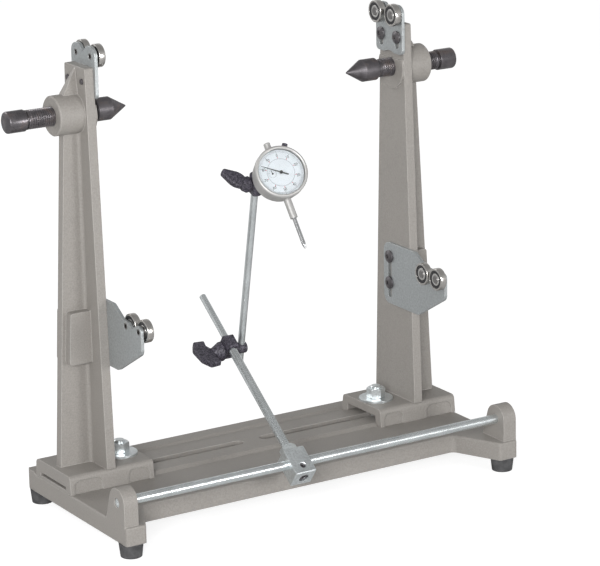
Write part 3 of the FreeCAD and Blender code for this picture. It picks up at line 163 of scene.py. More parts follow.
class StandColours(bpy.types.PropertyGroup):
    """Colours of the finishes, as linear values."""

    paint: FloatVectorProperty(
        name="Casting paint",
        description="Warm grey paint of the base and the uprights",
        default=(0.310, 0.291, 0.270),
        subtype="COLOR",
        min=0,
        max=1,
    )
    zinc: FloatVectorProperty(
        name="Zinc plate",
        description="Bluish zinc plating of rods, plates and nuts",
        default=(0.76, 0.80, 0.81),
        subtype="COLOR",
        min=0,
        max=1,
    )
    black: FloatVectorProperty(
        name="Black oxide",
        description="Blackened steel of spindles and screws",
        default=(0.105, 0.098, 0.104),
        subtype="COLOR",
        min=0,
        max=1,
    )
    silver: FloatVectorProperty(
        name="Satin silver",
        description="Paint of the dial's case and bezel",
        default=(0.50, 0.495, 0.485),
        subtype="COLOR",
        min=0,
        max=1,
    )


# Small tools for shader trees


def add_node(tree, kind, inputs=None, **settings):
    """A node with its settings; an input given as a socket is linked, else its value is set."""
    made = tree.nodes.new(kind)
    for key, value in settings.items():
        setattr(made, key, value)
    for key, value in (inputs or {}).items():
        if isinstance(value, bpy.types.NodeSocket):
            tree.links.new(value, made.inputs[key])
        else:
            made.inputs[key].default_value = value
    return made


def math_node(tree, operation, first, second=0.5, clamp=False):
    """The result socket of one arithmetic step."""
    made = add_node(tree, "ShaderNodeMath", {0: first, 1: second}, operation=operation)
    made.use_clamp = clamp
    return made.outputs[0]


def mix_colour(tree, share, first, second, blend="MIX"):
    """The colour socket of a mix of two colours."""
    made = add_node(tree, "ShaderNodeMix", data_type="RGBA", blend_type=blend)
    for place, value in ((0, share), (6, first), (7, second)):
        if isinstance(value, bpy.types.NodeSocket):
            tree.links.new(value, made.inputs[place])
        else:
            made.inputs[place].default_value = value
    return made.outputs[2]


def spread(tree, value, low, high, new_low, new_high):
    """A value carried from one span to another and held within it."""
    made = add_node(
        tree,
        "ShaderNodeMapRange",
        {"Value": value, "From Min": low, "From Max": high, "To Min": new_low, "To Max": new_high},
    )
    return made.outputs["Result"]


def opaque(colour, share=1.0):
    """A colour with its alpha, scaled by a share."""
    return (colour[0] * share, colour[1] * share, colour[2] * share, 1.0)


def new_group(name, inputs, outputs):
    """An empty node group with named sockets, with its input and output nodes."""
    group = bpy.data.node_groups.new(name, "ShaderNodeTree")
    for label, kind, value in inputs:
        socket = group.interface.new_socket(label, in_out="INPUT", socket_type=kind)
        if value is not None:
            socket.default_value = value
    for label, kind in outputs:
        group.interface.new_socket(label, in_out="OUTPUT", socket_type=kind)
    return group, group.nodes.new("NodeGroupInput"), group.nodes.new("NodeGroupOutput")


def soft_edges_group():
    """Rounded normals near edges, and a mask that is 1 on an edge and 0 on a flat face."""
    group, given, result = new_group(
        "Soft edges",
        [("Radius", "NodeSocketFloat", 0.001)],
        [("Normal", "NodeSocketVector"), ("Edge", "NodeSocketFloat")],
    )
    bevel = add_node(group, "ShaderNodeBevel", {"Radius": given.outputs["Radius"]}, samples=6)
    plain = add_node(group, "ShaderNodeNewGeometry")
    dot = add_node(
        group,
        "ShaderNodeVectorMath",
        {0: bevel.outputs[0], 1: plain.outputs["Normal"]},
        operation="DOT_PRODUCT",
    )
    mask = spread(group, dot.outputs["Value"], 1.0, 0.85, 0.0, 1.0)
    group.links.new(bevel.outputs[0], result.inputs["Normal"])
    group.links.new(mask, result.inputs["Edge"])
    return group


def grain_group():
    """Two noises of the object's own space: a broad tone, and a fine grain raised as a bump."""
    group, given, result = new_group(
        "Surface grain",
        [
            ("Fine size", "NodeSocketFloat", 0.001),
            ("Broad size", "NodeSocketFloat", 0.05),
            ("Depth", "NodeSocketFloat", 0.0001),
            ("Normal", "NodeSocketVector", None),
        ],
        [("Fine", "NodeSocketFloat"), ("Broad", "NodeSocketFloat"), ("Normal", "NodeSocketVector")],
    )
    place = add_node(group, "ShaderNodeTexCoord").outputs["Object"]
    fine_scale = math_node(group, "DIVIDE", 1.0, given.outputs["Fine size"])
    broad_scale = math_node(group, "DIVIDE", 1.0, given.outputs["Broad size"])
    fine = add_node(
        group, "ShaderNodeTexNoise", {"Vector": place, "Scale": fine_scale, "Detail": 3.0, "Roughness": 0.62}
    )
    broad = add_node(
        group, "ShaderNodeTexNoise", {"Vector": place, "Scale": broad_scale, "Detail": 4.0, "Roughness": 0.55}
    )
    bump = add_node(
        group,
        "ShaderNodeBump",
        {
            "Strength": 1.0,
            "Distance": given.outputs["Depth"],
            "Height": fine.outputs[0],
            "Normal": given.outputs["Normal"],
        },
    )
    group.links.new(fine.outputs[0], result.inputs["Fine"])
    group.links.new(broad.outputs[0], result.inputs["Broad"])
    group.links.new(bump.outputs[0], result.inputs["Normal"])
    return group


def drawn_group():
    """Fine lines drawn along one direction of the object's space, as on a drawn bar."""
    group, given, result = new_group(
        "Drawn lines",
        [
            ("Stretch", "NodeSocketVector", (40.0, 3000.0, 3000.0)),
            ("Depth", "NodeSocketFloat", 0.00002),
            ("Normal", "NodeSocketVector", None),
        ],
        [("Line", "NodeSocketFloat"), ("Normal", "NodeSocketVector")],
    )
    place = add_node(group, "ShaderNodeTexCoord").outputs["Object"]
    scaled = add_node(
        group,
        "ShaderNodeVectorMath",
        {0: place, 1: given.outputs["Stretch"]},
        operation="MULTIPLY",
    )
    noise = add_node(
        group,
        "ShaderNodeTexNoise",
        {"Vector": scaled.outputs[0], "Scale": 1.0, "Detail": 2.0, "Roughness": 0.6},
    )
    bump = add_node(
        group,
        "ShaderNodeBump",
        {
            "Strength": 1.0,
            "Distance": given.outputs["Depth"],
            "Height": noise.outputs[0],
            "Normal": given.outputs["Normal"],
        },
    )
    group.links.new(noise.outputs[0], result.inputs["Line"])
    group.links.new(bump.outputs[0], result.inputs["Normal"])
    return group


def place_group(tree, group, inputs):
    """One use of a shared group in a material, with its own values."""
    made = add_node(tree, "ShaderNodeGroup", node_tree=group)
    for key, value in inputs.items():
        if isinstance(value, bpy.types.NodeSocket):
            tree.links.new(value, made.inputs[key])
        else:
            made.inputs[key].default_value = value
    return made


def blank_material(name):
    """A material with only its shader and output; returns the tree and the shader."""
    material = bpy.data.materials.new(name)
    material.use_nodes = True
    tree = material.node_tree
    shader = next(node for node in tree.nodes if node.type == "BSDF_PRINCIPLED")
    return material, tree, shader


# Finishes


def cast_paint(groups, colours, sizes):
    """Thin warm grey paint over sand casting: grain shows through, edges are worn lighter."""
    material, tree, shader = blank_material("Cast paint")
    edges = place_group(tree, groups["edges"], {"Radius": sizes.edge_radius})
    grain = place_group(
        tree,
        groups["grain"],
        {
            "Fine size": sizes.sand_grain,
            "Broad size": 0.045,
            "Depth": 0.0004,
            "Normal": edges.outputs["Normal"],
        },
    )
    tone = spread(tree, grain.outputs["Broad"], 0.3, 0.7, 0.0, 1.0)
    speck = spread(tree, grain.outputs["Fine"], 0.34, 0.68, 0.0, 1.0)
    base = mix_colour(tree, speck, opaque(colours.paint, 0.80), opaque(colours.paint, 1.18))
    cloud = mix_colour(tree, tone, opaque(colours.paint, 0.85), opaque(colours.paint, 1.1))
    base = mix_colour(tree, 0.4, base, cloud)
    shade = mix_colour(tree, 0.35, base, mix_colour(tree, tone, base, opaque(colours.paint, 0.8)))
    worn = spread(tree, edges.outputs["Edge"], 0.15, 1.0, 0.0, 0.55)
    final = mix_colour(tree, worn, shade, opaque((0.62, 0.60, 0.57)))
    tree.links.new(final, shader.inputs["Base Color"])
    rough = spread(tree, grain.outputs["Fine"], 0.3, 0.7, 0.42, 0.6)
    tree.links.new(rough, shader.inputs["Roughness"])
    tree.links.new(grain.outputs["Normal"], shader.inputs["Normal"])
    return material


def zinc_bar(groups, colours, name, stretch, rough, metallic=0.9):
    """Bright zinc on a drawn bar: lines along it, a faint cloudy tone across it."""
    material, tree, shader = blank_material(name)
    edges = place_group(tree, groups["edges"], {"Radius": 0.0003})
    lines = place_group(
        tree,
        groups["drawn"],
        {"Stretch": stretch, "Depth": 0.000012, "Normal": edges.outputs["Normal"]},
    )
    cloud = place_group(
        tree,
        groups["grain"],
        {"Fine size": 0.004, "Broad size": 0.02, "Depth": 0.000006, "Normal": lines.outputs["Normal"]},
    )
    tone = spread(tree, cloud.outputs["Broad"], 0.3, 0.7, 0.0, 1.0)
    base = mix_colour(tree, tone, opaque(colours.zinc, 0.90), opaque(colours.zinc, 1.14))
    streak = spread(tree, lines.outputs["Line"], 0.36, 0.58, 0.32, 0.0)
    base = mix_colour(tree, streak, base, opaque(colours.zinc, 0.45))
    tree.links.new(base, shader.inputs["Base Color"])
    shader.inputs["Metallic"].default_value = metallic
    wobble = math_node(tree, "MULTIPLY", lines.outputs["Line"], 0.14)
    tree.links.new(math_node(tree, "ADD", wobble, rough), shader.inputs["Roughness"])
    tree.links.new(cloud.outputs["Normal"], shader.inputs["Normal"])
    return material


def zinc_sheet(groups, colours):
    """Satin zinc on cut plate: a mottled bluish grey with polished edges."""
    material, tree, shader = blank_material("Zinc sheet")
    edges = place_group(tree, groups["edges"], {"Radius": 0.0005})
    mottle = place_group(
        tree,
        groups["grain"],
        {"Fine size": 0.0022, "Broad size": 0.014, "Depth": 0.00003, "Normal": edges.outputs["Normal"]},
    )
    tone = spread(tree, mottle.outputs["Fine"], 0.32, 0.68, 0.0, 1.0)
    base = mix_colour(tree, tone, opaque(colours.zinc, 0.52), opaque(colours.zinc, 0.70))
    worn = spread(tree, edges.outputs["Edge"], 0.2, 1.0, 0.0, 0.6)
    final = mix_colour(tree, worn, base, opaque((0.86, 0.88, 0.88)))
    tree.links.new(final, shader.inputs["Base Color"])
    shader.inputs["Metallic"].default_value = 0.75
    rough = spread(tree, mottle.outputs["Broad"], 0.3, 0.7, 0.36, 0.5)
    tree.links.new(rough, shader.inputs["Roughness"])
    tree.links.new(mottle.outputs["Normal"], shader.inputs["Normal"])
    return material


def black_oxide(groups, colours, name="Black oxide", gloss=0.36):
    """Blackened steel: nearly black, faintly violet, with brown clouds and a soft oily sheen."""
    material, tree, shader = blank_material(name)
    edges = place_group(tree, groups["edges"], {"Radius": 0.0004})
    grain = place_group(
        tree,
        groups["grain"],
        {"Fine size": 0.0009, "Broad size": 0.012, "Depth": 0.00002, "Normal": edges.outputs["Normal"]},
    )
    tone = spread(tree, grain.outputs["Broad"], 0.3, 0.7, 0.0, 1.0)
    base = mix_colour(tree, tone, opaque(colours.black, 0.9), opaque(colours.black, 1.7))
    worn = spread(tree, edges.outputs["Edge"], 0.3, 1.0, 0.0, 0.45)
    brown = spread(tree, grain.outputs["Broad"], 0.52, 0.72, 0.0, 0.55)
    base = mix_colour(tree, brown, base, opaque((0.17, 0.12, 0.095)))
    final = mix_colour(tree, worn, base, opaque((0.40, 0.38, 0.37)))
    tree.links.new(final, shader.inputs["Base Color"])
    shader.inputs["Metallic"].default_value = 0.7
    rough = spread(tree, grain.outputs["Fine"], 0.3, 0.7, gloss, gloss + 0.14)
    tree.links.new(rough, shader.inputs["Roughness"])
    tree.links.new(grain.outputs["Normal"], shader.inputs["Normal"])
    return material


def moulded_black(groups):
    """Glass-filled black plastic: a coarse sparkling grain on a dark body."""
    material, tree, shader = blank_material("Moulded black")
    edges = place_group(tree, groups["edges"], {"Radius": 0.0006})
    grain = place_group(
        tree,
        groups["grain"],
        {"Fine size": 0.0016, "Broad size": 0.01, "Depth": 0.00028, "Normal": edges.outputs["Normal"]},
    )
    speck = spread(tree, grain.outputs["Fine"], 0.42, 0.66, 0.0, 1.0)
    base = mix_colour(tree, speck, (0.018, 0.016, 0.024, 1.0), (0.115, 0.105, 0.135, 1.0))
    tree.links.new(base, shader.inputs["Base Color"])
    rough = spread(tree, grain.outputs["Fine"], 0.3, 0.7, 0.62, 0.42)
    tree.links.new(rough, shader.inputs["Roughness"])
    tree.links.new(grain.outputs["Normal"], shader.inputs["Normal"])
    return material


def rubber(groups):
    """Grey-black rubber with a dusty bloom."""
    material, tree, shader = blank_material("Rubber")
    edges = place_group(tree, groups["edges"], {"Radius": 0.0008})
    grain = place_group(
        tree,
        groups["grain"],
        {"Fine size": 0.0012, "Broad size": 0.008, "Depth": 0.00005, "Normal": edges.outputs["Normal"]},
    )
    bloom = spread(tree, grain.outputs["Broad"], 0.35, 0.7, 0.0, 1.0)
    base = mix_colour(tree, bloom, (0.050, 0.050, 0.052, 1.0), (0.105, 0.105, 0.108, 1.0))
    tree.links.new(base, shader.inputs["Base Color"])
    shader.inputs["Roughness"].default_value = 0.78
    tree.links.new(grain.outputs["Normal"], shader.inputs["Normal"])
    return material


def ground_steel(groups, name, colour, rough):
    """Ground steel, with a cloudy tone and very fine grinding."""
    material, tree, shader = blank_material(name)
    edges = place_group(tree, groups["edges"], {"Radius": 0.0003})
    grain = place_group(
        tree,
        groups["grain"],
        {"Fine size": 0.0005, "Broad size": 0.006, "Depth": 0.000008, "Normal": edges.outputs["Normal"]},
    )
    tone = spread(tree, grain.outputs["Broad"], 0.3, 0.7, 0.0, 1.0)
    base = mix_colour(tree, tone, opaque(colour, 0.88), opaque(colour, 1.08))
    tree.links.new(base, shader.inputs["Base Color"])
    shader.inputs["Metallic"].default_value = 1.0
    level = spread(tree, grain.outputs["Fine"], 0.3, 0.7, rough - 0.05, rough + 0.07)
    tree.links.new(level, shader.inputs["Roughness"])
    tree.links.new(grain.outputs["Normal"], shader.inputs["Normal"])
    return material


def satin_silver(groups, colours):
    """Satin silver of the dial's case: fine metallic fleck under a thin lacquer."""
    material, tree, shader = blank_material("Satin silver")
    edges = place_group(tree, groups["edges"], {"Radius": 0.0005})
    grain = place_group(
        tree,
        groups["grain"],
        {"Fine size": 0.0004, "Broad size": 0.02, "Depth": 0.00001, "Normal": edges.outputs["Normal"]},
    )
    fleck = spread(tree, grain.outputs["Fine"], 0.35, 0.7, 0.0, 1.0)
    base = mix_colour(tree, fleck, opaque(colours.silver, 0.9), opaque(colours.silver, 1.12))
    tree.links.new(base, shader.inputs["Base Color"])
    shader.inputs["Metallic"].default_value = 0.45
    rough = spread(tree, grain.outputs["Broad"], 0.3, 0.7, 0.42, 0.52)
    tree.links.new(rough, shader.inputs["Roughness"])
    tree.links.new(grain.outputs["Normal"], shader.inputs["Normal"])
    return material


def enamel(groups, name, colour, rough):
    """Smooth enamel or printing ink, with a faint tone over the plate."""
    material, tree, shader = blank_material(name)
    grain = place_group(
        tree, groups["grain"], {"Fine size": 0.0006, "Broad size": 0.012, "Depth": 0.000003}
    )
    tone = spread(tree, grain.outputs["Broad"], 0.3, 0.7, 0.0, 1.0)
    base = mix_colour(tree, tone, opaque(colour, 0.95), opaque(colour, 1.03))
    tree.links.new(base, shader.inputs["Base Color"])
    level = spread(tree, grain.outputs["Fine"], 0.3, 0.7, rough - 0.04, rough + 0.06)
    tree.links.new(level, shader.inputs["Roughness"])
    return material


def clear_glass():
    """The dial's glass: clear, with faint smears in its gloss."""
    material, tree, shader = blank_material("Clear glass")
    place = add_node(tree, "ShaderNodeTexCoord").outputs["Object"]
    smear = add_node(
        tree, "ShaderNodeTexNoise", {"Vector": place, "Scale": 60.0, "Detail": 3.0, "Roughness": 0.6}
    )
    tree.links.new(spread(tree, smear.outputs[0], 0.4, 0.75, 0.0, 0.03), shader.inputs["Roughness"])
    shader.inputs["Base Color"].default_value = (0.97, 0.985, 0.99, 1.0)
    shader.inputs["Transmission Weight"].default_value = 1.0
    shader.inputs["IOR"].default_value = 1.4
    return material


def make_materials():
    """All finishes, by name."""
    colours = bpy.context.scene.stand_colours
    sizes = bpy.context.scene.stand_sizes
    groups = {"edges": soft_edges_group(), "grain": grain_group(), "drawn": drawn_group()}
    arm = Vector(JOINTS["arm_turn"]["axis"])
    upper = Vector(JOINTS["upper_rod_slide"]["axis"])
    return {
        "cast_paint": cast_paint(groups, colours, sizes),
        "zinc_along_x": zinc_bar(groups, colours, "Zinc bar along X", (30.0, 2600.0, 2600.0), 0.20),
        "zinc_arm": zinc_bar(groups, colours, "Zinc bar of the arm", lines_along(arm), 0.20),
        "zinc_upper": zinc_bar(groups, colours, "Zinc bar of the upper rod", lines_along(upper), 0.26),
        "zinc_cut": zinc_bar(groups, colours, "Zinc on machined blocks", (500.0, 500.0, 500.0), 0.26),
        "zinc_sheet": zinc_sheet(groups, colours),
        "black_oxide": black_oxide(groups, colours),
        "moulded_black": moulded_black(groups),
        "rubber": rubber(groups),
        "black_thread": black_oxide(groups, colours, "Black oxide on threads", 0.24),
        "bearing_steel": ground_steel(groups, "Bearing steel", (0.62, 0.60, 0.575), 0.20),
        "pale_steel": ground_steel(groups, "Pale steel", (0.66, 0.65, 0.63), 0.30),
        "dark_steel": ground_steel(groups, "Dark steel", (0.30, 0.29, 0.285), 0.34),
        "ground_steel": ground_steel(groups, "Ground steel", (0.66, 0.67, 0.68), 0.16),
        "satin_silver": satin_silver(groups, colours),
        "face_white": enamel(groups, "White face", (0.80, 0.83, 0.86), 0.34),
        "ink_black": enamel(groups, "Black ink", (0.030, 0.032, 0.036), 0.42),
        "ink_grey": enamel(groups, "Grey ink", (0.30, 0.32, 0.35), 0.42),
        "ink_red": enamel(groups, "Red ink", (0.62, 0.035, 0.045), 0.42),
        "shield_black": enamel(groups, "Shield black", (0.020, 0.020, 0.022), 0.38),
        "hand_black": enamel(groups, "Hand enamel", (0.035, 0.034, 0.034), 0.34),
        "clear_glass": clear_glass(),
    }


def lines_along(direction):
    """Noise scales that leave lines along a direction that lies in the YZ plane."""
    along = 40.0
    across = 2200.0
    y_share = abs(direction.y)
    z_share = abs(direction.z)
    return (across, along + (across - along) * z_share * 0.4, along + (across - along) * y_share * 0.4)


MATERIALS = {}


def finish(key):
    """The finish of that name; all are made on first use."""
    if not MATERIALS:
        MATERIALS.update(make_materials())
    return MATERIALS[key]


def dress(node, key):
    """Give a CAD node its finish."""
    mesh_object = frame["nodes"][node]
    mesh_object.data.materials.clear()
    mesh_object.data.materials.append(finish(key))


# Meshes from arrays


def across(direction):
    """Two unit directions square to a direction and to each other."""
    axis = np.array(direction, float)
    axis = axis / np.linalg.norm(axis)
    helper = np.eye(3)[np.argmin(np.abs(axis))]
    first = np.cross(axis, helper)
    first = first / np.linalg.norm(first)
    return axis, first, np.cross(axis, first)


def mesh_piece(name, points, faces, key, body, sharp=30.0):
    """A mesh object from arrays, smooth but for its sharp edges, riding on a body."""
    mesh = bpy.data.meshes.new(name)
    mesh.from_pydata([], [], [])
    mesh.vertices.add(len(points))
    mesh.vertices.foreach_set("co", np.asarray(points, np.float32).ravel())
    counts = np.array([len(face) for face in faces])
    flat = np.concatenate([np.asarray(face) for face in faces]).astype(np.int32)
    mesh.loops.add(len(flat))
    mesh.loops.foreach_set("vertex_index", flat)
    mesh.polygons.add(len(counts))
    mesh.polygons.foreach_set("loop_start", np.concatenate(([0], np.cumsum(counts)[:-1])).astype(np.int32))
    mesh.update(calc_edges=True)
    mesh.validate()
    mesh.polygons.foreach_set("use_smooth", np.ones(len(mesh.polygons), bool))
    mesh.set_sharp_from_angle(angle=math.radians(sharp))
    mesh.materials.append(finish(key))
    piece = bpy.data.objects.new(name, mesh)
    bpy.context.scene.collection.objects.link(piece)
    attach(piece, body)
    return piece


def grid_faces(rows, columns, start=0):
    """Quads of a grid that closes on itself along its columns."""
    row = np.arange(rows - 1)[:, None]
    column = np.arange(columns)[None, :]
    follow = (column + 1) % columns
    a = start + row * columns + column
    b = start + row * columns + follow
    return np.stack([a, b, b + columns, a + columns], axis=-1).reshape(-1, 4)


def turned_arrays(profile, start, direction, segments, wave=None):
    """A closed profile (along, radius) carried round a line.

    Point = start + along * axis + radius * (cos t * first + sin t * second). Where the profile
    begins and ends on the line, a single pole closes it; else the last ring joins the first.
    wave(t, along, radius) may change the radius, as a thread does.
    """
    axis, first, second = across(direction)
    data = np.array(profile, float)
    solid = data[0, 1] <= 0.0
    inner = data[1:-1] if solid else np.vstack([data, data[:1]])
    turn = np.linspace(0.0, 2.0 * np.pi, segments, endpoint=False)[None, :]
    along = inner[:, 0][:, None] + 0.0 * turn
    radius = inner[:, 1][:, None] + 0.0 * turn
    if wave is not None:
        radius = wave(turn, along, radius)
    spot = (
        np.array(start, float)
        + along[..., None] * axis
        + (radius * np.cos(turn))[..., None] * first
        + (radius * np.sin(turn))[..., None] * second
    )
    points = spot.reshape(-1, 3)
    faces = [list(face) for face in grid_faces(len(inner), segments)]
    if solid:
        low, high = len(points), len(points) + 1
        ends = np.array([start + data[0, 0] * axis, start + data[-1, 0] * axis])
        points = np.vstack([points, ends])
        last = (len(inner) - 1) * segments
        ring = np.arange(segments)
        follow = (ring + 1) % segments
        faces += [[low, int(b), int(a)] for a, b in zip(ring, follow)]
        faces += [[high, last + int(a), last + int(b)] for a, b in zip(ring, follow)]
    return points, faces


def turned_piece(name, profile, start, direction, key, body, wave=None, sharp=30.0):
    """A turned piece as a mesh object; doubles merged and normals turned outwards."""
    segments = bpy.context.scene.stand_sizes.turn_segments
    points, faces = turned_arrays(profile, start, direction, segments, wave)
    piece = mesh_piece(name, points, faces, key, body, sharp)
    tidy_mesh(piece)
    piece.data.set_sharp_from_angle(angle=math.radians(sharp))
    return piece


def tidy_mesh(piece, gap=1e-7):
    """Merge doubled points and turn every face outwards."""
    work = bmesh.new()
    work.from_mesh(piece.data)
    bmesh.ops.remove_doubles(work, verts=work.verts, dist=gap)
    bmesh.ops.recalc_face_normals(work, faces=work.faces)
    work.to_mesh(piece.data)
    work.free()


def thread_wave(pitch, depth, low, high, hand):
    """Radius of a V thread: full between low and high, cut down by a helix that fades at the ends."""

    def wave(turn, along, radius):
        phase = (along / pitch - hand * turn / (2.0 * np.pi)) % 1.0
        tooth = 1.0 - np.abs(2.0 * phase - 1.0)
        tooth = np.clip(tooth * 1.25, 0.0, 1.0)
        fade = np.clip((along - low) / pitch, 0.0, 1.0) * np.clip((high - along) / pitch, 0.0, 1.0)
        return radius - depth * (1.0 - tooth) * fade

    return wave


def with_rows(profile, low, high, step):
    """A profile with extra rows between two places, close enough together to show a thread."""
    rows = []
    count = max(2, int(round((high - low) / step)))
    for (a, r), (b, s) in zip(profile[:-1], profile[1:]):
        rows.append((a, r))
        if abs(a - low) < 1e-9 and abs(b - high) < 1e-9:
            share = np.linspace(0.0, 1.0, count + 1)[1:-1]
            rows.extend(zip(a + (b - a) * share, r + (s - r) * share))
    rows.append(profile[-1])
    return rows


# Operators, one for each group of like pieces


class STAND_OT_castings(bpy.types.Operator):
    """Paint the base and both uprights"""

    bl_idname = "stand.castings"
    bl_label = "Paint the castings"

    def execute(self, context):
        for node in ("base_casting", "left_upright", "right_upright"):
            dress(node, "cast_paint")
        for node in frame["nodes"]:
            if node.endswith("_foot_pad"):
                dress(node, "rubber")
        return {"FINISHED"}


class STAND_OT_metalwork(bpy.types.Operator):
    """Plate and blacken the rods, plates, nuts and screws"""

    bl_idname = "stand.metalwork"
    bl_label = "Finish the metalwork"

    def execute(self, context):
        finishes = {
            "front_rod": "zinc_along_x",
            "arm_rod": "zinc_arm",
            "upper_rod": "zinc_upper",
            "clamp_block": "zinc_cut",
            "jam_nut": "zinc_cut",
            "foot_pad_screws": "zinc_cut",
            "clamp_block_screws": "black_oxide",
            "plunger": "ground_steel",
            "contact_tip": "ground_steel",
        }
        for side in SIDES:
            finishes[side + "_clamp_nut"] = "zinc_cut"
            finishes[side + "_clamp_washer"] = "zinc_cut"
            finishes[side + "_clamp_bolt"] = "zinc_cut"
            finishes[side + "_spindle_cone"] = "black_oxide"
            finishes[side + "_spindle_screw"] = "black_oxide"
            for level in LEVELS:
                finishes[side + "_" + level + "_bracket"] = "zinc_sheet"
                finishes[side + "_" + level + "_bracket_screws"] = "black_oxide"
                finishes[side + "_" + level + "_roller_pins"] = "ground_steel"
                for end in ENDS:
                    finishes[side + "_" + level + "_" + end + "_roller"] = "bearing_steel"
        for node, key in finishes.items():
            dress(node, key)
        return {"FINISHED"}


class STAND_OT_gauge(bpy.types.Operator):
    """Finish the gauge's moulded clamps, case, face and hands"""

    bl_idname = "stand.gauge"
    bl_label = "Finish the gauge"

    def execute(self, context):
        finishes = {
            "swivel_body": "moulded_black",
            "swivel_eye": "moulded_black",
            "swivel_wing_knob": "moulded_black",
            "head_clamp": "moulded_black",
            "head_clamp_lever": "moulded_black",
            "bezel_clamp_knob": "moulded_black",
            "dial_case": "satin_silver",
            "dial_bezel": "satin_silver",
            "plunger_cap": "satin_silver",
            "dial_glass": "clear_glass",
            "dial_face_ring": "face_white",
            "dial_face_centre": "face_white",
            "dial_hand": "hand_black",
            "dial_counter_hand": "hand_black",
        }
        for node, key in finishes.items():
            dress(node, key)
        return {"FINISHED"}


def hex_wave(width):
    """A six-sided wall: rows whose radius is half the given width follow the flats of a hexagon."""
    half = width / 2

    def wave(turn, along, radius):
        flat = half / np.cos(turn % (np.pi / 3) - np.pi / 6)
        return np.where(np.isclose(radius, half), flat + 0.0 * radius, radius)

    return wave


def ring_profile(half, inner, outer, edge):
    """Section of a ring with rounded outer edges, as (along, radius) pairs that close on themselves."""
    bend = np.linspace(0.0, np.pi / 2, 4)
    left = np.stack([-half + edge - edge * np.cos(bend), outer - edge + edge * np.sin(bend)], axis=1)
    right = np.stack([-left[::-1, 0], left[::-1, 1]], axis=1)
    return [(-half, inner)] + [tuple(row) for row in np.vstack([left, right])] + [(half, inner)]


class STAND_OT_spindles(bpy.types.Operator):
    """Cut the threads of the two spindles and turn their grooves and knobs"""

    bl_idname = "stand.spindles"
    bl_label = "Thread the spindles"

    def execute(self, context):
        pitch = context.scene.stand_sizes.spindle_pitch
        for side, out in zip(SIDES, (-1.0, 1.0)):
            node = side + "_spindle_screw"
            low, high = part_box(node)
            nose = high[0] if out < 0 else low[0]
            start = (nose, (low[1] + high[1]) / 2, (low[2] + high[2]) / 2)
            rough = [
                (0.0, 0.0),
                (0.0, NOSE_RADIUS - 0.0004),
                (0.0004, NOSE_RADIUS),
                (NECK_START, NOSE_RADIUS),
                (NECK_START, NECK_RADIUS),
                (THREAD_START, NECK_RADIUS),
                (THREAD_START, THREAD_RADIUS - THREAD_CHAMFER),
                (THREAD_START + THREAD_CHAMFER, THREAD_RADIUS),
                (GROOVE_START, THREAD_RADIUS),
                (GROOVE_START, GROOVE_RADIUS),
                (KNOB_START, GROOVE_RADIUS),
                (KNOB_START, KNOB_RADIUS - 0.0005),
                (KNOB_START + 0.0005, KNOB_RADIUS),
                (SPINDLE_END - 0.0015, KNOB_RADIUS),
                (SPINDLE_END - 0.0007, KNOB_RADIUS - 0.0003),
                (SPINDLE_END, KNOB_RADIUS - 0.0015),
                (SPINDLE_END, 0.0),
            ]
            wave = thread_wave(pitch, THREAD_DEPTH, THREAD_START + 0.0004, GROOVE_START - 0.0006, 1.0)
            profile = with_rows(rough, THREAD_START + THREAD_CHAMFER, GROOVE_START, pitch / 12.0)
            piece = turned_piece(
                side + "_spindle",
                profile,
                start,
                (out, 0.0, 0.0),
                "black_thread",
                node,
                wave,
                40.0,
            )
            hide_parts(node)
        return {"FINISHED"}


class STAND_OT_rollers(bpy.types.Operator):
    """Build the eight ball-bearing rollers with their shields, inner rings and pins"""

    bl_idname = "stand.rollers"
    bl_label = "Build the rollers"

    def execute(self, context):
        for side in SIDES:
            for level in LEVELS:
                bracket = side + "_" + level + "_bracket"
                pins = side + "_" + level + "_roller_pins"
                pin_low, pin_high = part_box(pins)
                for end in ENDS:
                    roller = side + "_" + level + "_" + end + "_roller"
                    centre = np.array(JOINTS[roller + "_spin"]["pos_m"])
                    low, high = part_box(roller)
                    centre[0] = (low[0] + high[0]) / 2
                    plate = 1.0 if (pin_low[0] + pin_high[0]) / 2 > centre[0] else -1.0
                    reach = pin_high[0] - centre[0] if plate > 0 else centre[0] - pin_low[0]
                    axis = (plate, 0.0, 0.0)
                    ring = turned_piece(
                        roller + "_ring",
                        ring_profile(RING_HALF, RACE_RADIUS, RING_RADIUS, 0.0007),
                        centre,
                        axis,
                        "bearing_steel",
                        roller,
                    )
                    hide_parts(roller)
                    for face in (-1.0, 1.0):
                        place = centre + np.array([face * plate * (RING_HALF - SHIELD_INSET), 0.0, 0.0])
                        turned_piece(
                            roller + ("_shield_in" if face < 0 else "_shield_out"),
                            ring_profile(SHIELD_HALF, SHIELD_BORE, RACE_RADIUS + 0.00005, 0.00008),
                            place,
                            axis,
                            "shield_black",
                            roller,
                        )
                    turned_piece(
                        roller + "_inner",
                        ring_profile(RING_HALF - SHIELD_HALF, BORE_RADIUS, INNER_RADIUS, 0.0004),
                        centre,
                        axis,
                        "pale_steel",
                        bracket,
                    )
                    pin = turned_piece(
                        roller + "_pin",
                        [
                            (-RING_HALF - 0.0002, 0.0),
                            (-RING_HALF - 0.0002, 0.0040),
                            (-RING_HALF + 0.0003, PIN_RADIUS),
                            (RING_HALF, PIN_RADIUS),
                            (RING_HALF, SHOULDER_RADIUS),
                            (RING_HALF + SHOULDER_LENGTH, SHOULDER_RADIUS),
                            (RING_HALF + SHOULDER_LENGTH, SHANK_RADIUS),
                            (reach - 0.0004, SHANK_RADIUS),
                            (reach, SHANK_RADIUS - 0.0004),
                            (reach, SOCKET_WIDTH / 2),
                            (reach - SOCKET_DEPTH, SOCKET_WIDTH / 2),
                            (reach - SOCKET_DEPTH, 0.0),
                        ],
                        centre,
                        axis,
                        "dark_steel",
                        bracket,
                        hex_wave(SOCKET_WIDTH),
                    )
                    if end == "front":
                        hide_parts(pins)
        return {"FINISHED"}


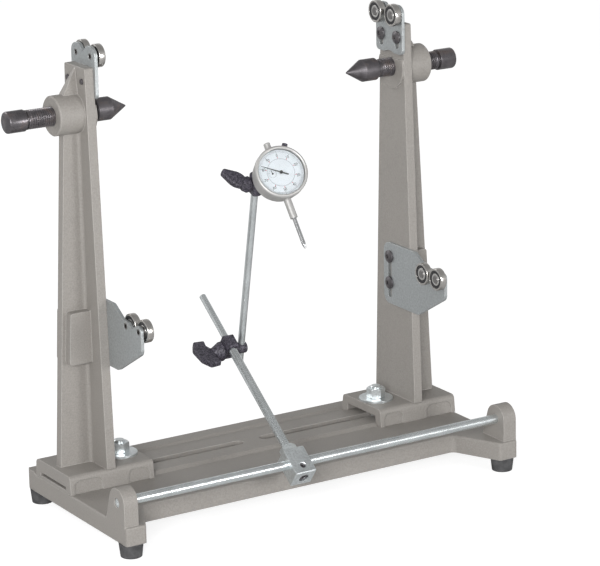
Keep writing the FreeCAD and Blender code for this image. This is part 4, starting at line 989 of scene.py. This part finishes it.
def dial_axes():
    """The middle of the dial's back plane with its right, up and outward directions."""
    origin = np.array(JOINTS["bezel_turn"]["pos_m"], float)
    out = np.array(JOINTS["bezel_turn"]["axis"], float)
    right = np.array(JOINTS["dial_tilt"]["axis"], float)
    up = np.array(JOINTS["plunger_travel"]["axis"], float)
    return origin, right, up, out


def on_face(flat, height):
    """Points given as (right, up) on the dial's face, lifted along its outward direction."""
    origin, right, up, out = dial_axes()
    return origin + flat[..., :1] * right + flat[..., 1:2] * up + np.asarray(height)[..., None] * out


def tick_marks(name, angles, inner, outer, wide, centre, height, key, body):
    """Thin printed bars: each is a box that points away from a centre, at its own angle.

    A corner is centre + r * (sin a, cos a) + w * (cos a, -sin a), with r one of two radii and w
    one of two half widths; angles run clockwise from the dial's up.
    """
    angles = np.asarray(angles, float)
    count = len(angles)
    radius = np.stack([np.broadcast_to(inner, count), np.broadcast_to(outer, count)], axis=1)
    half = np.broadcast_to(wide, count) / 2
    along = np.stack([np.sin(angles), np.cos(angles)], axis=1)
    square = np.stack([np.cos(angles), -np.sin(angles)], axis=1)
    order_r = np.array([0, 1, 1, 0])
    order_w = np.array([-1.0, -1.0, 1.0, 1.0])
    flat = (
        np.asarray(centre)[None, None, :]
        + radius[:, order_r][..., None] * along[:, None, :]
        + (order_w[None, :] * half[:, None])[..., None] * square[:, None, :]
    )
    low = on_face(flat, np.full(flat.shape[:2], height[0]))
    high = on_face(flat, np.full(flat.shape[:2], height[1]))
    points = np.concatenate([low, high], axis=1).reshape(-1, 3)
    box = np.array([[0, 1, 2, 3], [7, 6, 5, 4], [0, 4, 5, 1], [1, 5, 6, 2], [2, 6, 7, 3], [3, 7, 4, 0]])
    faces = (np.arange(count)[:, None, None] * 8 + box[None]).reshape(-1, 4)
    piece = mesh_piece(name, points, [list(face) for face in faces], key, body)
    tidy_mesh(piece, 1e-9)
    return piece


def printed_number(text, middle, size, height):
    """Points and faces of one number lying on the dial, with its centre at a place on the face."""
    curve = bpy.data.curves.new("number", "FONT")
    curve.body = text
    curve.size = 1.4
    curve.align_x = "CENTER"
    curve.align_y = "CENTER"
    curve.extrude = 0.5
    curve.resolution_u = 3
    holder = bpy.data.objects.new("number", curve)
    mesh = bpy.data.meshes.new_from_object(holder)
    points = np.empty(len(mesh.vertices) * 3, np.float32)
    mesh.vertices.foreach_get("co", points)
    points = points.reshape(-1, 3).astype(float)
    span = points[:, 1].max() - points[:, 1].min()
    points[:, :2] -= (points[:, :2].max(axis=0) + points[:, :2].min(axis=0)) / 2
    flat = points[:, :2] * np.array([size * 0.86, size]) / span + np.asarray(middle)
    lift = height[0] + (points[:, 2] + 0.5) * (height[1] - height[0])
    faces = [list(face.vertices) for face in mesh.polygons]
    bpy.data.objects.remove(holder)
    bpy.data.curves.remove(curve)
    bpy.data.meshes.remove(mesh)
    return on_face(flat, lift), faces


class STAND_OT_dial_print(bpy.types.Operator):
    """Print the dial: graduations, numbers, marks and the small counting dial"""

    bl_idname = "stand.dial_print"
    bl_label = "Print the dial"

    def execute(self, context):
        size = context.scene.stand_sizes.numeral_height
        middle = np.zeros(2)
        marks = np.arange(GRADUATIONS)
        turn = ZERO_TURN + marks * FULL_TURN / GRADUATIONS
        inner = np.where(marks % 10 == 0, 0.0202, np.where(marks % 5 == 0, 0.0209, 0.0216))
        wide = np.where(marks % 10 == 0, 0.00040, 0.00028)
        tick_marks("graduations", turn, inner, 0.0236, wide, middle, INK, "ink_grey", "bezel")
        tens = ZERO_TURN + np.arange(NUMBERS) * FULL_TURN / NUMBERS
        tick_marks("red_marks", tens, 0.0153, 0.0167, 0.0006, middle, INK, "ink_red", "bezel")
        points, faces, count = [], [], 0
        for step, angle in enumerate(tens):
            place = NUMBER_RADIUS * np.array([math.sin(angle), math.cos(angle)])
            spots, loops = printed_number(str(step * 10), place, size, INK)
            faces += [[corner + count for corner in loop] for loop in loops]
            points.append(spots)
            count += len(spots)
        numbers = mesh_piece("numbers", np.vstack(points), faces, "ink_black", "bezel")
        tidy_mesh(numbers, 1e-8)
        origin, right, up, out = dial_axes()
        centre = np.array(COUNTER_PLACE)
        for name, radius, thick, spot, body in (
            ("print_circle", 0.0145, 0.00034, middle, "bezel"),
            ("counter_circle", 0.0041, 0.00016, centre, "dial"),
        ):
            base = origin + spot[0] * right + spot[1] * up
            turned_piece(
                name,
                [
                    (INK[0], radius),
                    (INK[0], radius + thick),
                    (INK[1], radius + thick),
                    (INK[1], radius),
                ],
                base,
                out,
                "ink_grey",
                body,
            )
        small = np.arange(NUMBERS) * FULL_TURN / NUMBERS
        tick_marks("counter_marks", small, 0.0031, 0.0041, 0.00022, centre, INK, "ink_black", "dial")
        return {"FINISHED"}


class STAND_OT_stage(bpy.types.Operator):
    """Set the floor, the soft lights, the world and the camera"""

    bl_idname = "stand.stage"
    bl_label = "Set the stage"

    def execute(self, context):
        make_floor()
        make_world()
        make_lights()
        make_camera()
        context.scene.view_settings.view_transform = "Standard"
        return {"FINISHED"}


# Stage


def seen_directly(tree):
    """1 for camera and transmission rays, 0 for the rays that light the object or mirror in it."""
    path = add_node(tree, "ShaderNodeLightPath")
    return math_node(tree, "MAXIMUM", path.outputs["Is Camera Ray"], path.outputs["Is Transmission Ray"])


def make_floor():
    """A wide pale floor that shows white with the object's soft shadow."""
    half = 9.0
    mesh = bpy.data.meshes.new("floor")
    corners = [(-half, -half, 0), (half, -half, 0), (half, half, 0), (-half, half, 0)]
    mesh.from_pydata(corners, [], [(0, 1, 2, 3)])
    floor = bpy.data.objects.new("floor", mesh)
    bpy.context.scene.collection.objects.link(floor)
    material = bpy.data.materials.new("Pale floor")
    material.use_nodes = True
    tree = material.node_tree
    tree.nodes.clear()
    seen = seen_directly(tree)
    colour = mix_colour(tree, seen, (0.66, 0.66, 0.66, 1.0), (0.36, 0.36, 0.36, 1.0))
    matt = add_node(tree, "ShaderNodeBsdfDiffuse", {"Color": colour})
    glow = add_node(
        tree,
        "ShaderNodeEmission",
        {"Color": (1.0, 1.0, 1.0, 1.0), "Strength": math_node(tree, "MULTIPLY", seen, 0.84)},
    )
    both = add_node(tree, "ShaderNodeAddShader", {0: matt.outputs[0], 1: glow.outputs[0]})
    add_node(tree, "ShaderNodeOutputMaterial", {"Surface": both.outputs[0]})
    mesh.materials.append(material)


def make_world():
    """A pale room: white where it is seen; where it lights, bright low down and dim overhead."""
    world = bpy.data.worlds.new("Pale room")
    bpy.context.scene.world = world
    world.use_nodes = True
    tree = world.node_tree
    tree.nodes.clear()
    seen = seen_directly(tree)
    direction = add_node(tree, "ShaderNodeTexCoord").outputs["Generated"]
    rise = add_node(tree, "ShaderNodeSeparateXYZ", {0: direction}).outputs["Z"]
    walls = spread(tree, rise, 0.12, 0.75, 0.70, 0.34)
    white = math_node(tree, "SUBTRACT", 1.0, walls)
    strength = math_node(tree, "ADD", walls, math_node(tree, "MULTIPLY", white, seen))
    sky = add_node(tree, "ShaderNodeBackground", {"Color": (1.0, 1.0, 1.0, 1.0), "Strength": strength})
    add_node(tree, "ShaderNodeOutputWorld", {"Surface": sky.outputs[0]})


def make_lights():
    """Three soft panels: a low key at the left, a weak one near the camera, one behind."""
    target = Vector((0.0, 0.0, 0.22))
    for name, place, size, power in (
        ("key", (-1.9, -2.2, 1.1), 1.0, 62.0),
        ("front", (0.9, -2.7, 0.6), 0.7, 22.0),
        ("rear", (-1.2, 2.2, 1.5), 1.0, 14.0),
    ):
        lamp = bpy.data.lights.new(name, "AREA")
        lamp.size = size
        lamp.energy = power
        holder = bpy.data.objects.new(name, lamp)
        holder.location = place
        holder.rotation_euler = (target - Vector(place)).to_track_quat("-Z", "Y").to_euler()
        bpy.context.scene.collection.objects.link(holder)


def make_camera():
    """A long lens from the left front, a little above the stand and turned a little."""
    place = Vector((-1.54932, -2.58293, 1.07855))
    aim = Vector((-0.17028, -0.34531, 0.33337))
    roll = math.radians(-1.07)
    look = (aim - place).normalized()
    level = look.cross(Vector((0.0, 0.0, 1.0))).normalized()
    rise = level.cross(look)
    right = level * math.cos(roll) + rise * math.sin(roll)
    up = rise * math.cos(roll) - level * math.sin(roll)
    lens = bpy.data.cameras.new("camera")
    lens.sensor_width = 36.0
    lens.lens = 179.18
    lens.clip_end = 40.0
    camera = bpy.data.objects.new("camera", lens)
    turn = Matrix((right, up, -look)).transposed().to_4x4()
    camera.matrix_world = Matrix.Translation(place) @ turn
    bpy.context.scene.collection.objects.link(camera)
    bpy.context.scene.camera = camera


class STAND_PT_panel(bpy.types.Panel):
    """Sidebar panel with the settings and the steps"""

    bl_label = "Truing stand"
    bl_idname = "STAND_PT_panel"
    bl_space_type = "VIEW_3D"
    bl_region_type = "UI"
    bl_category = "Truing stand"

    def draw(self, context):
        layout = self.layout
        for group in (context.scene.stand_sizes, context.scene.stand_colours):
            for name in group.__annotations__:
                layout.prop(group, name)
        for step in STEPS:
            layout.operator(step.bl_idname)


STEPS = (
    STAND_OT_castings,
    STAND_OT_metalwork,
    STAND_OT_gauge,
    STAND_OT_spindles,
    STAND_OT_rollers,
    STAND_OT_dial_print,
    STAND_OT_stage,
)
CLASSES = (StandSizes, StandColours) + STEPS + (STAND_PT_panel,)


def register():
    """Add the settings, the steps and the panel."""
    for kind in CLASSES:
        bpy.utils.register_class(kind)
    bpy.types.Scene.stand_sizes = PointerProperty(type=StandSizes)
    bpy.types.Scene.stand_colours = PointerProperty(type=StandColours)


def unregister():
    """Take them away again."""
    del bpy.types.Scene.stand_colours
    del bpy.types.Scene.stand_sizes
    for kind in reversed(CLASSES):
        bpy.utils.unregister_class(kind)


def main():
    """Run every step in order."""
    register()
    for step in STEPS:
        area, name = step.bl_idname.split(".")
        getattr(getattr(bpy.ops, area), name)()


if __name__ == "__main__":
    main()
